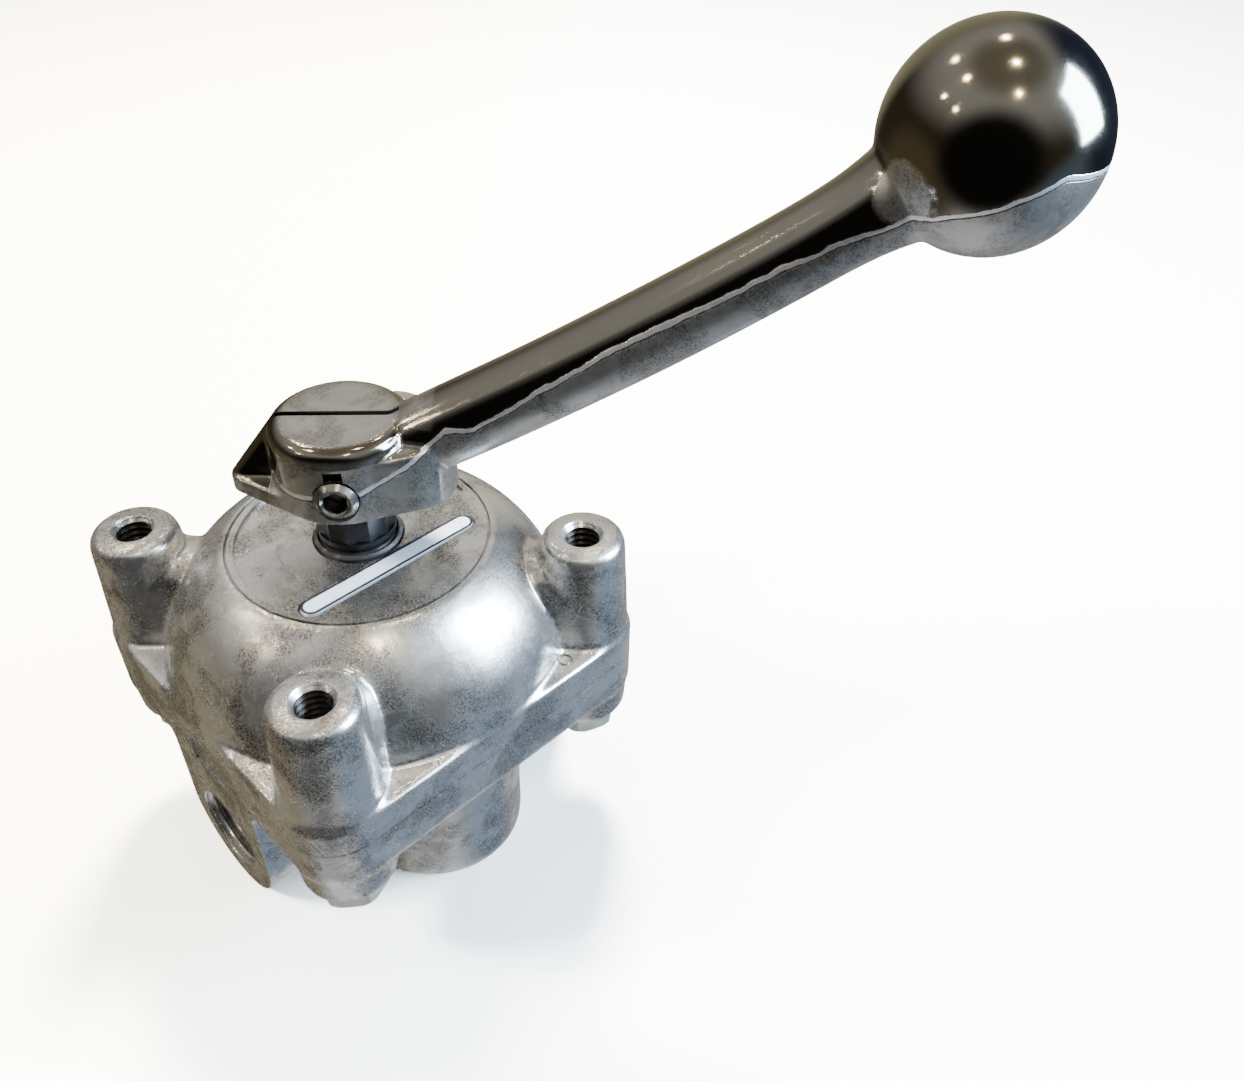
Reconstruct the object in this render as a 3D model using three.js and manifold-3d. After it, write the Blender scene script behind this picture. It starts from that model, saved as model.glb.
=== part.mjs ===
// Hand-lever rotary valve: four ports, three detented positions, shear-seal disc rotor.
// Millimetres, +Z up. The origin is the centre of the underside of the base, on the stem's axis.
// The side ports face -X and +X, the bottom ports lie on -Y and +Y, and the lever rests
// over the +X -Y corner, in the closed centre position.

import * as THREE from 'three';
import { mergeVertices } from 'three/addons/utils/BufferGeometryUtils.js';
import Module from 'manifold-3d';

const wasm = await Module();
wasm.setup();

// ---------------------------------------------------------------- driving dimensions

const gap = 0.3;                    // between pieces that touch on the real valve

const bodyHalf = 40;                // half the side of the square base and cover
const postPitch = 60.3;             // between mounting holes, 2-3/8 in
const post = postPitch / 2;
const cornerRadius = bodyHalf - post;

const partingHeight = 41.5;         // where the cover meets the base
const baseTop = partingHeight - gap / 2;
const coverBottom = partingHeight + gap / 2;
const baseFlangeBottom = 31.9;
const cornerPadBottom = 25.5;
const coverFlangeTop = 48;
const postTop = 70.5;
const plateTop = 69.9;
const domeRadius = 39.6;            // where the bell-shaped cover leaves its flange
const domeArcRadius = 28.15;        // of the bell's side, seen in section
const domeArcCentre = [11.6, 45.45];
const webHalf = 8;                  // the webs that tie the posts to the bell
const webTop = 66;

const boltRadius = 3.95;            // 5/16 in screw
const boltHeadAcross = 12.7;        // 1/2 in hexagon
const boltHeadHeight = 5.3;
const boltTip = 56.6;
const tapDrillRadius = 3.25;        // tapping size for 5/16-18

const portThreadRadius = 8.4;       // 3/8 NPT
const portMouthRadius = 9;
const portDepth = 15;
const sidePortHeight = 14.5;
const sideBossHalf = 14.2;
const bottomBossRadius = 17.4;
const passageRadius = 3.4;
const portCircle = 16.5;            // radius at which the seals and the bottom ports sit

const sealBoreRadius = 6.3;
const sealBoreFloor = 31;
const sealTop = partingHeight + 0.25;

const cavityRadius = 28;
const cavityCeiling = 60.2;
const rotorRadius = 25;
const faceHoleRadius = 3.2;
const channelHeight = 46.6;         // of the drilled channels in the rotor
const channelRadius = 2.2;
const rotorBottom = sealTop + gap;
const rotorTop = rotorBottom + 12;
const pivotRadius = 4;
const pivotBottom = 34;
const pivotTop = 47;

const stemRadius = 7.3;
const stemBoreRadius = 9.6;
const stemLipRadius = 8.4;          // the bore's mouth in the cover's plate
const stemFlangeRadius = 13;
const stemFlangeBottom = 55.4;
const stemFlangeTop = 58.4;
const stemTop = 93.5;
const tangBottom = 49.5;
const tangAcross = 12;

const swing = 45;                   // lever travel each way from the centre position, degrees
const centreAzimuth = -45;          // of the rotor's centre position
const leverClocking = 2.4;          // how far the lever is clamped past the rotor's centre line
const detentCircle = 21;
const detentBallRadius = 3;
const stopCircle = 19;
const stopPinRadius = 2.5;
const stopPinBottom = 51;
const stopPinTop = 64;

const hubRadius = 12.7;
const hubBottom = 83;
const hubTop = 97.3;
const hubRimRadius = 2.8;
const pointerReach = 17.3;          // axis to the centre of the pointer's round tip
const pointerTipRadius = 3.5;
const armRadius = 7.15;             // 9/16 in round
const knobRadius = 17.5;            // 1-3/8 in ball
const knobReach = 104.5;            // axis to the ball's centre, seen from above
const knobHeight = 145.8;
const setScrewHeight = 87.4;
const setScrewRadius = 3.95;

const raceInner = 7.7;              // the thrust bearing on the stem's flange
const raceOuter = 12.8;
const raceThickness = 0.8;
const bearingMiddle = 60.5;
const stemPocketTop = 62.6;
const packingTop = 68.4;

// ---------------------------------------------------------------- looks

const castAluminium = { color: 0x9a948a, roughness: 0.5, metalness: 0.75 };
const leverMetal = { color: 0x77726a, roughness: 0.3, metalness: 0.85 };
const blackSteel = { color: 0x17171a, roughness: 0.4, metalness: 0.6 };
const zincSteel = { color: 0xc9c7bf, roughness: 0.45, metalness: 0.7 };
const plainSteel = { color: 0x9c9ea2, roughness: 0.3, metalness: 0.9 };
const lappedSteel = { color: 0xb6b8bc, roughness: 0.15, metalness: 0.95 };
const springSteel = { color: 0x6f7276, roughness: 0.35, metalness: 0.9 };
const bronze = { color: 0xb08a4c, roughness: 0.4, metalness: 0.85 };
const blackRubber = { color: 0x1b1b1b, roughness: 0.8, metalness: 0 };
const paleLabel = { color: 0xe6e8ea, roughness: 0.4, metalness: 0.2 };

// ---------------------------------------------------------------- solids

const radians = THREE.MathUtils.degToRad;

// A closed geometry as a solid whose faces point outwards.
function toSolid(geometry) {
  const bare = geometry.clone();
  bare.deleteAttribute('normal');
  bare.deleteAttribute('uv');
  const merged = mergeVertices(bare, 1e-4);
  const points = merged.attributes.position;
  const triangles = [];
  let volume = 0;
  const [a, b, c] = [new THREE.Vector3(), new THREE.Vector3(), new THREE.Vector3()];
  for (let i = 0; i < merged.index.count; i += 3) {
    const corners = [0, 1, 2].map((k) => merged.index.getX(i + k));
    if (new Set(corners).size < 3) continue;
    [a, b, c].forEach((corner, k) => corner.fromBufferAttribute(points, corners[k]));
    volume += a.dot(b.cross(c));
    triangles.push(corners);
  }
  if (volume < 0) triangles.forEach((corners) => corners.reverse());
  return new wasm.Manifold(new wasm.Mesh({
    numProp: 3,
    vertProperties: new Float32Array(points.array),
    triVerts: new Uint32Array(triangles.flat()),
  }));
}

const asSolid = (shape) => (shape.isBufferGeometry ? toSolid(shape) : shape);
const join = (...shapes) => shapes.map(asSolid).reduce((all, next) => all.add(next));
const cut = (shape, ...tools) => tools.map(asSolid).reduce((left, tool) => left.subtract(tool), asSolid(shape));
const common = (first, second) => asSolid(first).intersect(asSolid(second));

function toGeometry(solid) {
  const mesh = solid.getMesh();
  const geometry = new THREE.BufferGeometry();
  geometry.setAttribute('position', new THREE.BufferAttribute(new Float32Array(mesh.vertProperties), 3));
  geometry.setIndex(Array.from(mesh.triVerts));
  geometry.computeVertexNormals();
  return geometry;
}

// The profile is a list of [radius, height]; it starts and ends on the axis, or closes on itself.
function turned(profile, facets = 20) {
  const points = profile.map(([radius, height]) => new THREE.Vector2(radius, height));
  return new THREE.LatheGeometry(points, facets).rotateX(Math.PI / 2);
}

function cylinder(radius, low, high, facets = 20, topRadius = radius) {
  return turned([[0, low], [radius, low], [topRadius, high], [0, high]], facets);
}

function ring(inner, outer, low, high, facets = 20) {
  return turned([[inner, low], [outer, low], [outer, high], [inner, high], [inner, low]], facets);
}

function oRing(middle, section, height, facets = 18) {
  return new THREE.TorusGeometry(middle, section, 6, facets).translate(0, 0, height);
}

function box(xs, ys, zs) {
  const size = [xs, ys, zs].map(([low, high]) => high - low);
  const centre = [xs, ys, zs].map(([low, high]) => (low + high) / 2);
  return new THREE.BoxGeometry(...size).translate(...centre);
}

function prism(outline, low, high, curveSegments = 6) {
  const geometry = new THREE.ExtrudeGeometry(outline, { depth: high - low, bevelEnabled: false, curveSegments });
  return geometry.translate(0, 0, low);
}

// A skin over rings of points that all hold the same number, with its two ends closed.
function loft(rings) {
  const count = rings[0].length;
  const last = (rings.length - 1) * count;
  const middle = (points) => points.reduce((sum, p) => sum.add(p), new THREE.Vector3()).divideScalar(count);
  const points = [...rings.flat(), middle(rings[0]), middle(rings.at(-1))];
  const index = [];
  for (let i = 0; i < count; i++) {
    const next = (i + 1) % count;
    for (let start = 0; start < last; start += count) {
      index.push(start + i, start + next, start + count + next);
      index.push(start + i, start + count + next, start + count + i);
    }
    index.push(points.length - 2, next, i, points.length - 1, last + i, last + next);
  }
  return new THREE.BufferGeometry().setFromPoints(points).setIndex(index);
}

// One level of a square block with round corners centred on the posts.
function squareRing(half, height, segments = 4) {
  const radius = half - post;
  const points = [];
  for (let corner = 0; corner < 4; corner++) {
    for (let step = 0; step <= segments; step++) {
      const angle = (corner + step / segments) * Math.PI / 2;
      const [sx, sy] = [[1, 1], [-1, 1], [-1, -1], [1, -1]][corner];
      points.push(new THREE.Vector3(
        sx * post + radius * Math.cos(angle), sy * post + radius * Math.sin(angle), height));
    }
  }
  return points;
}

function polygonShape(points) {
  return new THREE.Shape(points.map(([x, y]) => new THREE.Vector2(x, y)));
}

function hexagon(across, low, high) {
  const radius = across / Math.sqrt(3);
  return turned([[0, low], [radius, low], [radius, high], [0, high]], 6);
}

// An arc slot about the axis, with round ends.
function arcSlot(middle, halfWidth, from, to, low, high) {
  const outline = new THREE.Shape();
  outline.absarc(0, 0, middle + halfWidth, radians(from), radians(to), false);
  outline.absarc(middle * Math.cos(radians(to)), middle * Math.sin(radians(to)), halfWidth,
    radians(to), radians(to + 180), false);
  outline.absarc(0, 0, middle - halfWidth, radians(to), radians(from), true);
  outline.absarc(middle * Math.cos(radians(from)), middle * Math.sin(radians(from)), halfWidth,
    radians(from + 180), radians(from + 360), false);
  return prism(outline, low, high, 8);
}

const onCircle = (shape, radius, azimuth) => shape.translate(
  radius * Math.cos(radians(azimuth)), radius * Math.sin(radians(azimuth)), 0);
const atPosts = [[1, 1], [-1, 1], [-1, -1], [1, -1]];
const portAzimuths = [0, 90, 180, 270];

const valve = new THREE.Group();

function piece(name, shape, look, parent = valve) {
  const mesh = new THREE.Mesh(toGeometry(asSolid(shape)), new THREE.MeshStandardMaterial(look));
  mesh.name = name;
  parent.add(mesh);
}

// ---------------------------------------------------------------- base

function baseBody() {
  const flange = loft([
    squareRing(bodyHalf - 0.5, baseFlangeBottom),
    squareRing(bodyHalf, baseFlangeBottom + 1.5),
    squareRing(bodyHalf, baseTop),
  ]);
  const cornerPads = atPosts.map(([sx, sy]) => cylinder(cornerRadius - 0.9, cornerPadBottom,
    baseFlangeBottom + 1, 20, cornerRadius - 0.3).translate(sx * post, sy * post, 0));
  const bottomBosses = [90, 270].map((azimuth) => onCircle(
    cylinder(bottomBossRadius, 0, baseFlangeBottom + 1, 32), portCircle, azimuth));

  // The side bosses are one bar with a half-round underside, as long as the base is wide.
  const half = new THREE.Shape();
  half.moveTo(sideBossHalf, baseFlangeBottom + 1);
  half.lineTo(-sideBossHalf, baseFlangeBottom + 1);
  half.absarc(0, sidePortHeight, sideBossHalf, Math.PI, 2 * Math.PI, false);
  const bar = prism(half, -bodyHalf, bodyHalf, 14).rotateX(Math.PI / 2).rotateZ(Math.PI / 2);
  const body = join(flange, bar, ...cornerPads, ...bottomBosses);

  const boltHoles = atPosts.map(([sx, sy]) => cylinder(boltRadius + gap, 0, partingHeight, 12)
    .translate(sx * post, sy * post, 0));
  const portThread = () => turned([[0, -1], [portMouthRadius, -1], [portMouthRadius, 0.4],
    [portThreadRadius, 1.4], [portThreadRadius, portDepth], [0, portDepth]], 20);
  const sidePorts = [0, Math.PI].flatMap((turn) => [
    portThread().rotateY(-Math.PI / 2).translate(bodyHalf, 0, sidePortHeight).rotateZ(turn),
    cylinder(passageRadius, portCircle, bodyHalf - portDepth + 1, 12).rotateY(Math.PI / 2)
      .translate(0, 0, sidePortHeight).rotateZ(turn),
    onCircle(cylinder(passageRadius, sidePortHeight, sealBoreFloor + 1, 12), portCircle, 0).rotateZ(turn),
  ]);
  const bottomPorts = [90, 270].flatMap((azimuth) => [
    onCircle(portThread(), portCircle, azimuth),
    onCircle(cylinder(passageRadius, portDepth - 1, sealBoreFloor + 1, 12), portCircle, azimuth),
  ]);
  const sealBores = portAzimuths.map((azimuth) => onCircle(
    cylinder(sealBoreRadius, sealBoreFloor, partingHeight), portCircle, azimuth));
  const pivotBore = cylinder(pivotRadius + gap, pivotBottom - gap, partingHeight, 16);
  const sealGroove = ring(31.2, 33.8, 39.35, partingHeight, 30);
  const markPanels = [-1, 1].map((side) => box(
    [side * bodyHalf - 0.4, side * bodyHalf + 0.4], [-5, 5], [32.9, 39]));
  return cut(body, ...boltHoles, ...sidePorts, ...bottomPorts, ...sealBores, pivotBore, sealGroove, ...markPanels);
}

piece('base_body', baseBody(), castAluminium);

// ---------------------------------------------------------------- cover

const namePlateCentre = [-0.8, -11.1];
const namePlateLength = 37.9;
const namePlateWidth = 4;

function stadium(length, width, low, high) {
  const outline = new THREE.Shape();
  const reach = (length - width) / 2;
  outline.absarc(reach, 0, width / 2, -Math.PI / 2, Math.PI / 2, false);
  outline.absarc(-reach, 0, width / 2, Math.PI / 2, Math.PI * 1.5, false);
  return prism(outline, low, high, 8);
}

function cover() {
  const flange = loft([
    squareRing(bodyHalf, coverBottom),
    squareRing(bodyHalf, coverFlangeTop - 1.6),
    squareRing(bodyHalf - 0.5, coverFlangeTop - 0.5),
    squareRing(bodyHalf - 1.6, coverFlangeTop),
  ]);
  const bell = [[0, coverFlangeTop - 2], [domeRadius, coverFlangeTop - 2]];
  const firstAngle = Math.asin((coverFlangeTop - domeArcCentre[1]) / domeArcRadius);
  const lastAngle = Math.asin((plateTop - domeArcCentre[1]) / domeArcRadius);
  const bellSteps = 8;
  for (let step = 0; step <= bellSteps; step++) {
    const angle = firstAngle + (lastAngle - firstAngle) * step / bellSteps;
    bell.push([
      domeArcCentre[0] + domeArcRadius * Math.cos(angle), domeArcCentre[1] + domeArcRadius * Math.sin(angle)]);
  }
  bell.push([0, plateTop]);
  const posts = atPosts.map(([sx, sy]) => turned([[0, coverBottom], [cornerRadius, coverBottom],
    [9.2, coverFlangeTop], [8.2, postTop - 2], [7.6, postTop - 0.7], [6.2, postTop], [0, postTop]], 18)
    .translate(sx * post, sy * post, 0));
  const webs = [45, 135].map((azimuth) => box(
    [-37, 37], [-webHalf, webHalf], [coverFlangeTop, webTop]).rotateZ(radians(azimuth)));
  const outside = join(flange, turned(bell, 40), ...posts, ...webs);

  const cavity = turned([[0, partingHeight], [cavityRadius, partingHeight], [cavityRadius, 56],
    [24.9, cavityCeiling], [stemFlangeRadius + 1, cavityCeiling], [stemFlangeRadius + 1, stemPocketTop],
    [stemBoreRadius, stemPocketTop], [stemBoreRadius, packingTop], [stemLipRadius, packingTop],
    [stemLipRadius, plateTop + 1],
    [0, plateTop + 1]], 32);
  const boltHoles = atPosts.map(([sx, sy]) => turned([[0, partingHeight - 1], [boltRadius + gap, partingHeight - 1],
    [boltRadius + gap, boltTip + gap], [tapDrillRadius, boltTip + 1], [tapDrillRadius, postTop - 0.6],
    [tapDrillRadius + 1, postTop + 0.4], [0, postTop + 0.4]], 12).translate(sx * post, sy * post, 0));
  const detentSleeve = onCircle(cylinder(5.2, 55.2, 62, 16), detentCircle, centreAzimuth);
  const detentBore = onCircle(cylinder(detentBallRadius + 0.4, 55, 66.3, 16), detentCircle, centreAzimuth);
  const stopPinHole = onCircle(
    cylinder(stopPinRadius + gap, 58, stopPinTop + gap, 12), stopCircle, centreAzimuth + 180);
  const plateRecess = stadium(namePlateLength + 0.7, namePlateWidth + 0.7, plateTop - 0.8, plateTop + 1)
    .translate(...namePlateCentre, 0);
  const hollow = join(cut(outside, cavity), detentSleeve);
  return cut(hollow, ...boltHoles, detentBore, stopPinHole, plateRecess);
}

piece('cover', cover(), castAluminium);
piece('cover_seal_ring', oRing(32.5, 0.85, 40.5, 30), blackRubber);
piece('nameplate', stadium(namePlateLength, namePlateWidth, plateTop - 0.5, plateTop + 0.2)
  .translate(...namePlateCentre, 0), paleLabel);

atPosts.forEach(([sx, sy], i) => {
  const head = hexagon(boltHeadAcross, cornerPadBottom - gap - boltHeadHeight, cornerPadBottom - gap);
  const shank = cylinder(boltRadius, cornerPadBottom - gap - 1, boltTip, 12);
  piece(`cover_bolt_${i + 1}`, join(head, shank).translate([sx * post, sy * post, 0]), zincSteel);
});

// ---------------------------------------------------------------- port seals

const sealBore = 3.2;
const sealOuter = sealBoreRadius - gap;
const sealStepOuter = 4.7;
const sealBottom = 32.3;
const sealStep = 36.5;
const springInner = 3.6;
const springThickness = 0.35;

portAzimuths.forEach((azimuth, i) => {
  const sleeve = turned([[sealBore, sealBottom], [sealStepOuter, sealBottom], [sealStepOuter, sealStep],
    [sealOuter, sealStep], [sealOuter, sealTop], [sealBore, sealTop], [sealBore, sealBottom]]);
  const inside = sealBoreFloor + gap;
  const outside = inside + gap;
  const springWasher = turned([[springInner, inside], [sealOuter, outside], [sealOuter, outside + springThickness],
    [springInner, inside + springThickness], [springInner, inside]]);
  piece(`pressure_seal_${i + 1}`, onCircle(sleeve, portCircle, azimuth), lappedSteel);
  piece(`seal_ring_${i + 1}`, onCircle(oRing(5.5, 0.5, 35.5), portCircle, azimuth), blackRubber);
  piece(`seal_spring_${i + 1}`, onCircle(springWasher, portCircle, azimuth), springSteel);
});

// ---------------------------------------------------------------- rotor

// Two drilled channels inside the disc each join two of its four face holes. The holes lie
// between the ports in the centre position, so every port is closed there.
const channelOffset = portCircle * Math.sin(radians(swing));

function rotor() {
  const disc = turned([[0, rotorBottom], [rotorRadius - 0.5, rotorBottom], [rotorRadius, rotorBottom + 0.5],
    [rotorRadius, rotorTop - 0.5], [rotorRadius - 0.5, rotorTop], [0, rotorTop]], 36);
  const faceHoles = portAzimuths.map((azimuth) => onCircle(
    cylinder(faceHoleRadius, rotorBottom - 1, channelHeight + 2.9, 12), portCircle, azimuth + swing));
  const channels = [-1, 1].map((side) => cylinder(channelRadius, -channelOffset, rotorRadius + 1, 12)
    .rotateY(Math.PI / 2).translate(0, side * channelOffset, channelHeight));
  const pivotBore = cylinder(pivotRadius + gap, rotorBottom - 1, pivotTop + gap, 16);
  const half = tangAcross / 2 + gap;
  const socket = box([-half, half], [-half, half], [tangBottom - gap, rotorTop + 1]).rotateZ(radians(centreAzimuth));
  const stopCentre = centreAzimuth + 180;
  const stopSlot = arcSlot(stopCircle, stopPinRadius + 0.4, stopCentre - swing - 0.6, stopCentre + swing + 0.6,
    stopPinBottom - 0.4, rotorTop + 1);
  const detentFloor = 52.85;
  const detentGroove = arcSlot(detentCircle, 2.6, centreAzimuth - swing - 3, centreAzimuth + swing + 3,
    detentFloor, rotorTop + 1);
  const notches = [-swing, 0, swing].map((turn) => onCircle(
    turned([[0, 52.2], [1.3, 52.5], [1.9, detentFloor + 0.1], [0, detentFloor + 0.1]], 12),
    detentCircle, centreAzimuth + turn));
  return cut(disc, ...faceHoles, ...channels, pivotBore, socket, stopSlot, detentGroove, ...notches);
}

piece('rotor', rotor(), lappedSteel);
[-1, 1].forEach((side, i) => {
  piece(`rotor_plug_${i + 1}`, cylinder(channelRadius - gap, 18.5, 21.5, 12).rotateY(Math.PI / 2)
    .translate(0, side * channelOffset, channelHeight), plainSteel);
});
piece('rotor_pivot_pin', cylinder(pivotRadius, pivotBottom, pivotTop, 16), plainSteel);
piece('stop_pin', onCircle(cylinder(stopPinRadius, stopPinBottom, stopPinTop, 12), stopCircle, centreAzimuth + 180),
  plainSteel);

// ---------------------------------------------------------------- detent

const detentBallHeight = 56.15;
const detentSpringTop = 66;

function detentSpring() {
  const coilRadius = 2.3;
  const wire = 0.4;
  const turns = 4;
  const facets = 8;                 // to a turn
  const low = detentBallHeight + detentBallRadius + gap + wire;
  const high = detentSpringTop - wire;
  const stations = [];
  for (let step = 0; step <= turns * facets; step++) {
    const angle = step / facets * 2 * Math.PI;
    stations.push(new THREE.Vector3(coilRadius * Math.cos(angle), coilRadius * Math.sin(angle),
      low + (high - low) * step / (turns * facets)));
  }
  const rings = stations.map((centre) => {
    const outward = new THREE.Vector3(centre.x, centre.y, 0).normalize();
    return [...Array(6).keys()].map((k) => centre.clone()
      .addScaledVector(outward, wire * Math.cos(k * Math.PI / 3))
      .add(new THREE.Vector3(0, 0, wire * Math.sin(k * Math.PI / 3))));
  });
  return loft(rings);
}

piece('detent_ball', onCircle(new THREE.SphereGeometry(detentBallRadius, 14, 8).rotateX(Math.PI / 2)
  .translate(0, 0, detentBallHeight), detentCircle, centreAzimuth), lappedSteel);
piece('detent_spring', onCircle(detentSpring(), detentCircle, centreAzimuth), springSteel);

// ---------------------------------------------------------------- stem, its bearings and seals

function stem() {
  const half = tangAcross / 2;
  const tang = box([-half, half], [-half, half], [tangBottom, stemFlangeBottom + 1]).rotateZ(radians(centreAzimuth));
  const flange = cylinder(stemFlangeRadius, stemFlangeBottom, stemFlangeTop, 24);
  const shaft = cylinder(stemRadius, stemFlangeTop - 1, 74, 24);
  const flutedEnd = cylinder(stemRadius, 73, stemTop, 12);
  return join(tang, flange, shaft, flutedEnd);
}

// Flat needle rollers in a round cage.
function thrustCage() {
  const rollers = [...Array(12).keys()].map((k) => cylinder(0.7, 8.8, 12.2, 6).rotateY(Math.PI / 2)
    .translate(0, 0, bearingMiddle).rotateZ(k * Math.PI / 6));
  return join(ring(raceInner + 0.2, raceOuter, bearingMiddle - 0.4, bearingMiddle + 0.4, 24), ...rollers);
}

piece('stem', stem(), blackSteel);
const lowerRaceBottom = bearingMiddle - 1.8;
const upperRaceBottom = bearingMiddle + 1;
const wiperBottom = packingTop + 0.4;
const wiperInner = stemRadius + gap;
const wiperOuter = stemLipRadius - gap;

const race = (bottom) => ring(raceInner, raceOuter, bottom, bottom + raceThickness, 24);

piece('thrust_race_lower', race(lowerRaceBottom), plainSteel);
piece('thrust_bearing_cage', thrustCage(), bronze);
piece('thrust_race_upper', race(upperRaceBottom), plainSteel);
piece('stem_bushing', ring(stemRadius + gap, stemBoreRadius - gap, stemPocketTop + gap, packingTop - 2.2), bronze);
piece('stem_seal_ring', oRing((stemRadius + stemBoreRadius) / 2, 0.8, packingTop - 1), blackRubber);
piece('stem_wiper', turned([[wiperInner, wiperBottom], [wiperOuter, wiperBottom], [wiperOuter, plateTop + 0.5],
  [wiperInner, plateTop + 1], [wiperInner, wiperBottom]]), blackRubber);

// ---------------------------------------------------------------- lever

// The lever is made along +X and turned into place with the group.
const leverGroup = new THREE.Group();
leverGroup.rotation.z = radians(centreAzimuth + leverClocking);
valve.add(leverGroup);

// Centre line of the arm and its radius: [along, height, radius].
const armStations = [
  [6, 88.4, 6.6],
  [17.9, 94.1, armRadius],
  [36, 103.4, armRadius],
  [55.7, 114.4, armRadius],
  [73, 124.8, 7],
  [84, 132, 6.8],
  [90, 136, 7.6],
  [96, 140, 9.5],
];

function arm() {
  const centres = armStations.map(([along, height]) => new THREE.Vector3(along, 0, height));
  const path = new THREE.CatmullRomCurve3(centres);
  const sides = 12;
  return loft(armStations.map(([, , radius], i) => {
    const tangent = path.getTangent(i / (armStations.length - 1));
    const upward = new THREE.Vector3(-tangent.z, 0, tangent.x);
    return [...Array(sides).keys()].map((k) => {
      const angle = 2 * Math.PI * k / sides;
      return centres[i].clone().addScaledVector(upward, radius * Math.sin(angle))
        .add(new THREE.Vector3(0, -radius * Math.cos(angle), 0));
    });
  }));
}

// Plan of the hub's foot: a round hub drawn out to a pointer at -X and to a blunt shoulder at +X.
function footOutline() {
  const pointerSlope = Math.acos((hubRadius - pointerTipRadius) / pointerReach);
  const shoulder = [17.9, 7.4];
  const shoulderReach = Math.hypot(...shoulder);
  const shoulderSlope = Math.atan2(shoulder[1], shoulder[0]) + Math.acos(hubRadius / shoulderReach);
  const outline = new THREE.Shape();
  outline.absarc(0, 0, hubRadius, shoulderSlope, Math.PI - pointerSlope, false);
  outline.absarc(-pointerReach, 0, pointerTipRadius, Math.PI - pointerSlope, Math.PI + pointerSlope, false);
  outline.absarc(0, 0, hubRadius, Math.PI + pointerSlope, 2 * Math.PI - shoulderSlope, false);
  outline.lineTo(shoulder[0], -shoulder[1]);
  outline.quadraticCurveTo(shoulder[0] + 4, 0, shoulder[0], shoulder[1]);
  return outline;
}

function lever() {
  const rim = hubRimRadius;
  const hub = turned([[0, hubBottom], [hubRadius, hubBottom], [hubRadius, hubTop - rim],
    [hubRadius - rim * 0.3, hubTop - rim * 0.3], [hubRadius - rim, hubTop], [0, hubTop]], 28);
  const foot = prism(footOutline(), hubBottom, hubBottom + 3, 8);
  const shoulder = common(prism(footOutline(), hubBottom, hubTop - rim, 8), box([0, 30], [-15, 15], [0, 120]));
  const ridge = prism(polygonShape([[-19.6, hubBottom + 1], [-4, hubBottom + 1], [-4, hubTop - 1],
    [-9.5, hubTop - 0.6], [-14, hubTop - 2.4], [-19.6, hubBottom + 3.4]]), -2.6, 2.6).rotateX(Math.PI / 2);
  const knob = new THREE.SphereGeometry(knobRadius, 24, 14).rotateX(Math.PI / 2)
    .translate(knobReach, 0, knobHeight);
  const solid = join(hub, foot, shoulder, ridge, arm(), knob);

  const stemBore = cylinder(stemRadius + gap, hubBottom - 1, stemTop + gap, 20);
  const screwHole = cylinder(setScrewRadius + gap, 0, 16, 12).rotateX(Math.PI / 2).translate(0, 0, setScrewHeight);
  const screwNotch = box([-1.7, 1.7], [-16, -9], [setScrewHeight, 93.5]);
  const topGroove = box([-10.5, 12], [-0.7, 0.7], [hubTop - 0.8, hubTop + 1]);
  return cut(solid, stemBore, screwHole, screwNotch, topGroove);
}

function setScrew() {
  const body = cylinder(setScrewRadius, stemRadius + gap, 13.4, 12);
  const socket = hexagon(4, 9.8, 14);
  return toGeometry(cut(body, socket)).rotateX(Math.PI / 2).translate(0, 0, setScrewHeight);
}

piece('lever', lever(), leverMetal, leverGroup);
piece('lever_set_screw', setScrew(), blackSteel, leverGroup);

export default valve;
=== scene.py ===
from math import asin, cos, pi, radians, sin, sqrt
from types import SimpleNamespace

import bpy
import numpy as np
from bpy.props import FloatProperty, FloatVectorProperty, PointerProperty
from bpy.types import Operator, Panel, PropertyGroup
from mathutils import Matrix, Vector


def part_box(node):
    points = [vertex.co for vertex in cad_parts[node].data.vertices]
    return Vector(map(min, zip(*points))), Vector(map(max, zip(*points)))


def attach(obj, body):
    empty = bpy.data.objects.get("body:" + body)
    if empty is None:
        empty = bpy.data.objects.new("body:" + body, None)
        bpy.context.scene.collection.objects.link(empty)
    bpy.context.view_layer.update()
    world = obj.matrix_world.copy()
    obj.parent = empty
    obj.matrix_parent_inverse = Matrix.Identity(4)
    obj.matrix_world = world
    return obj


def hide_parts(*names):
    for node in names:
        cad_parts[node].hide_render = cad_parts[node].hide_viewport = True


bl_info = {
    "name": "Rotary lever valve",
    "version": (1, 0, 0),
    "blender": (4, 5, 0),
    "location": "3D View > Sidebar > Valve",
    "description": "Builds a die-cast rotary valve with a ball-ended hand lever",
    "category": "Add Mesh",
}

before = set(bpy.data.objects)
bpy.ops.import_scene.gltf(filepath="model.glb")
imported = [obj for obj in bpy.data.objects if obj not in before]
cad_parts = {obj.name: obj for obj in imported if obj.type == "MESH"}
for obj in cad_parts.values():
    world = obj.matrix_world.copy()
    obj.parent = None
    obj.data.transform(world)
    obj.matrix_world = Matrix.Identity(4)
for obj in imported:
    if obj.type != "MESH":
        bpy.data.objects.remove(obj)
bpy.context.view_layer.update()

MM = 0.001
BODY = "body"
LEVER_BODY = "lever_and_rotor"
CORNERS = [(1, 1), (-1, 1), (-1, -1), (1, -1)]


def top_of(node):
    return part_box(node)[1][2]


def bottom_of(node):
    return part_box(node)[0][2]


# ------------------------------------------------------------------ sizes and colours


def length(name, description, default):
    return FloatProperty(name=name, description=description, default=default, min=0.0,
                         unit="LENGTH", precision=4)


def colour(name, description, default):
    return FloatVectorProperty(name=name, description=description, default=default, size=3,
                               min=0.0, max=1.0, subtype="COLOR")


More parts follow.
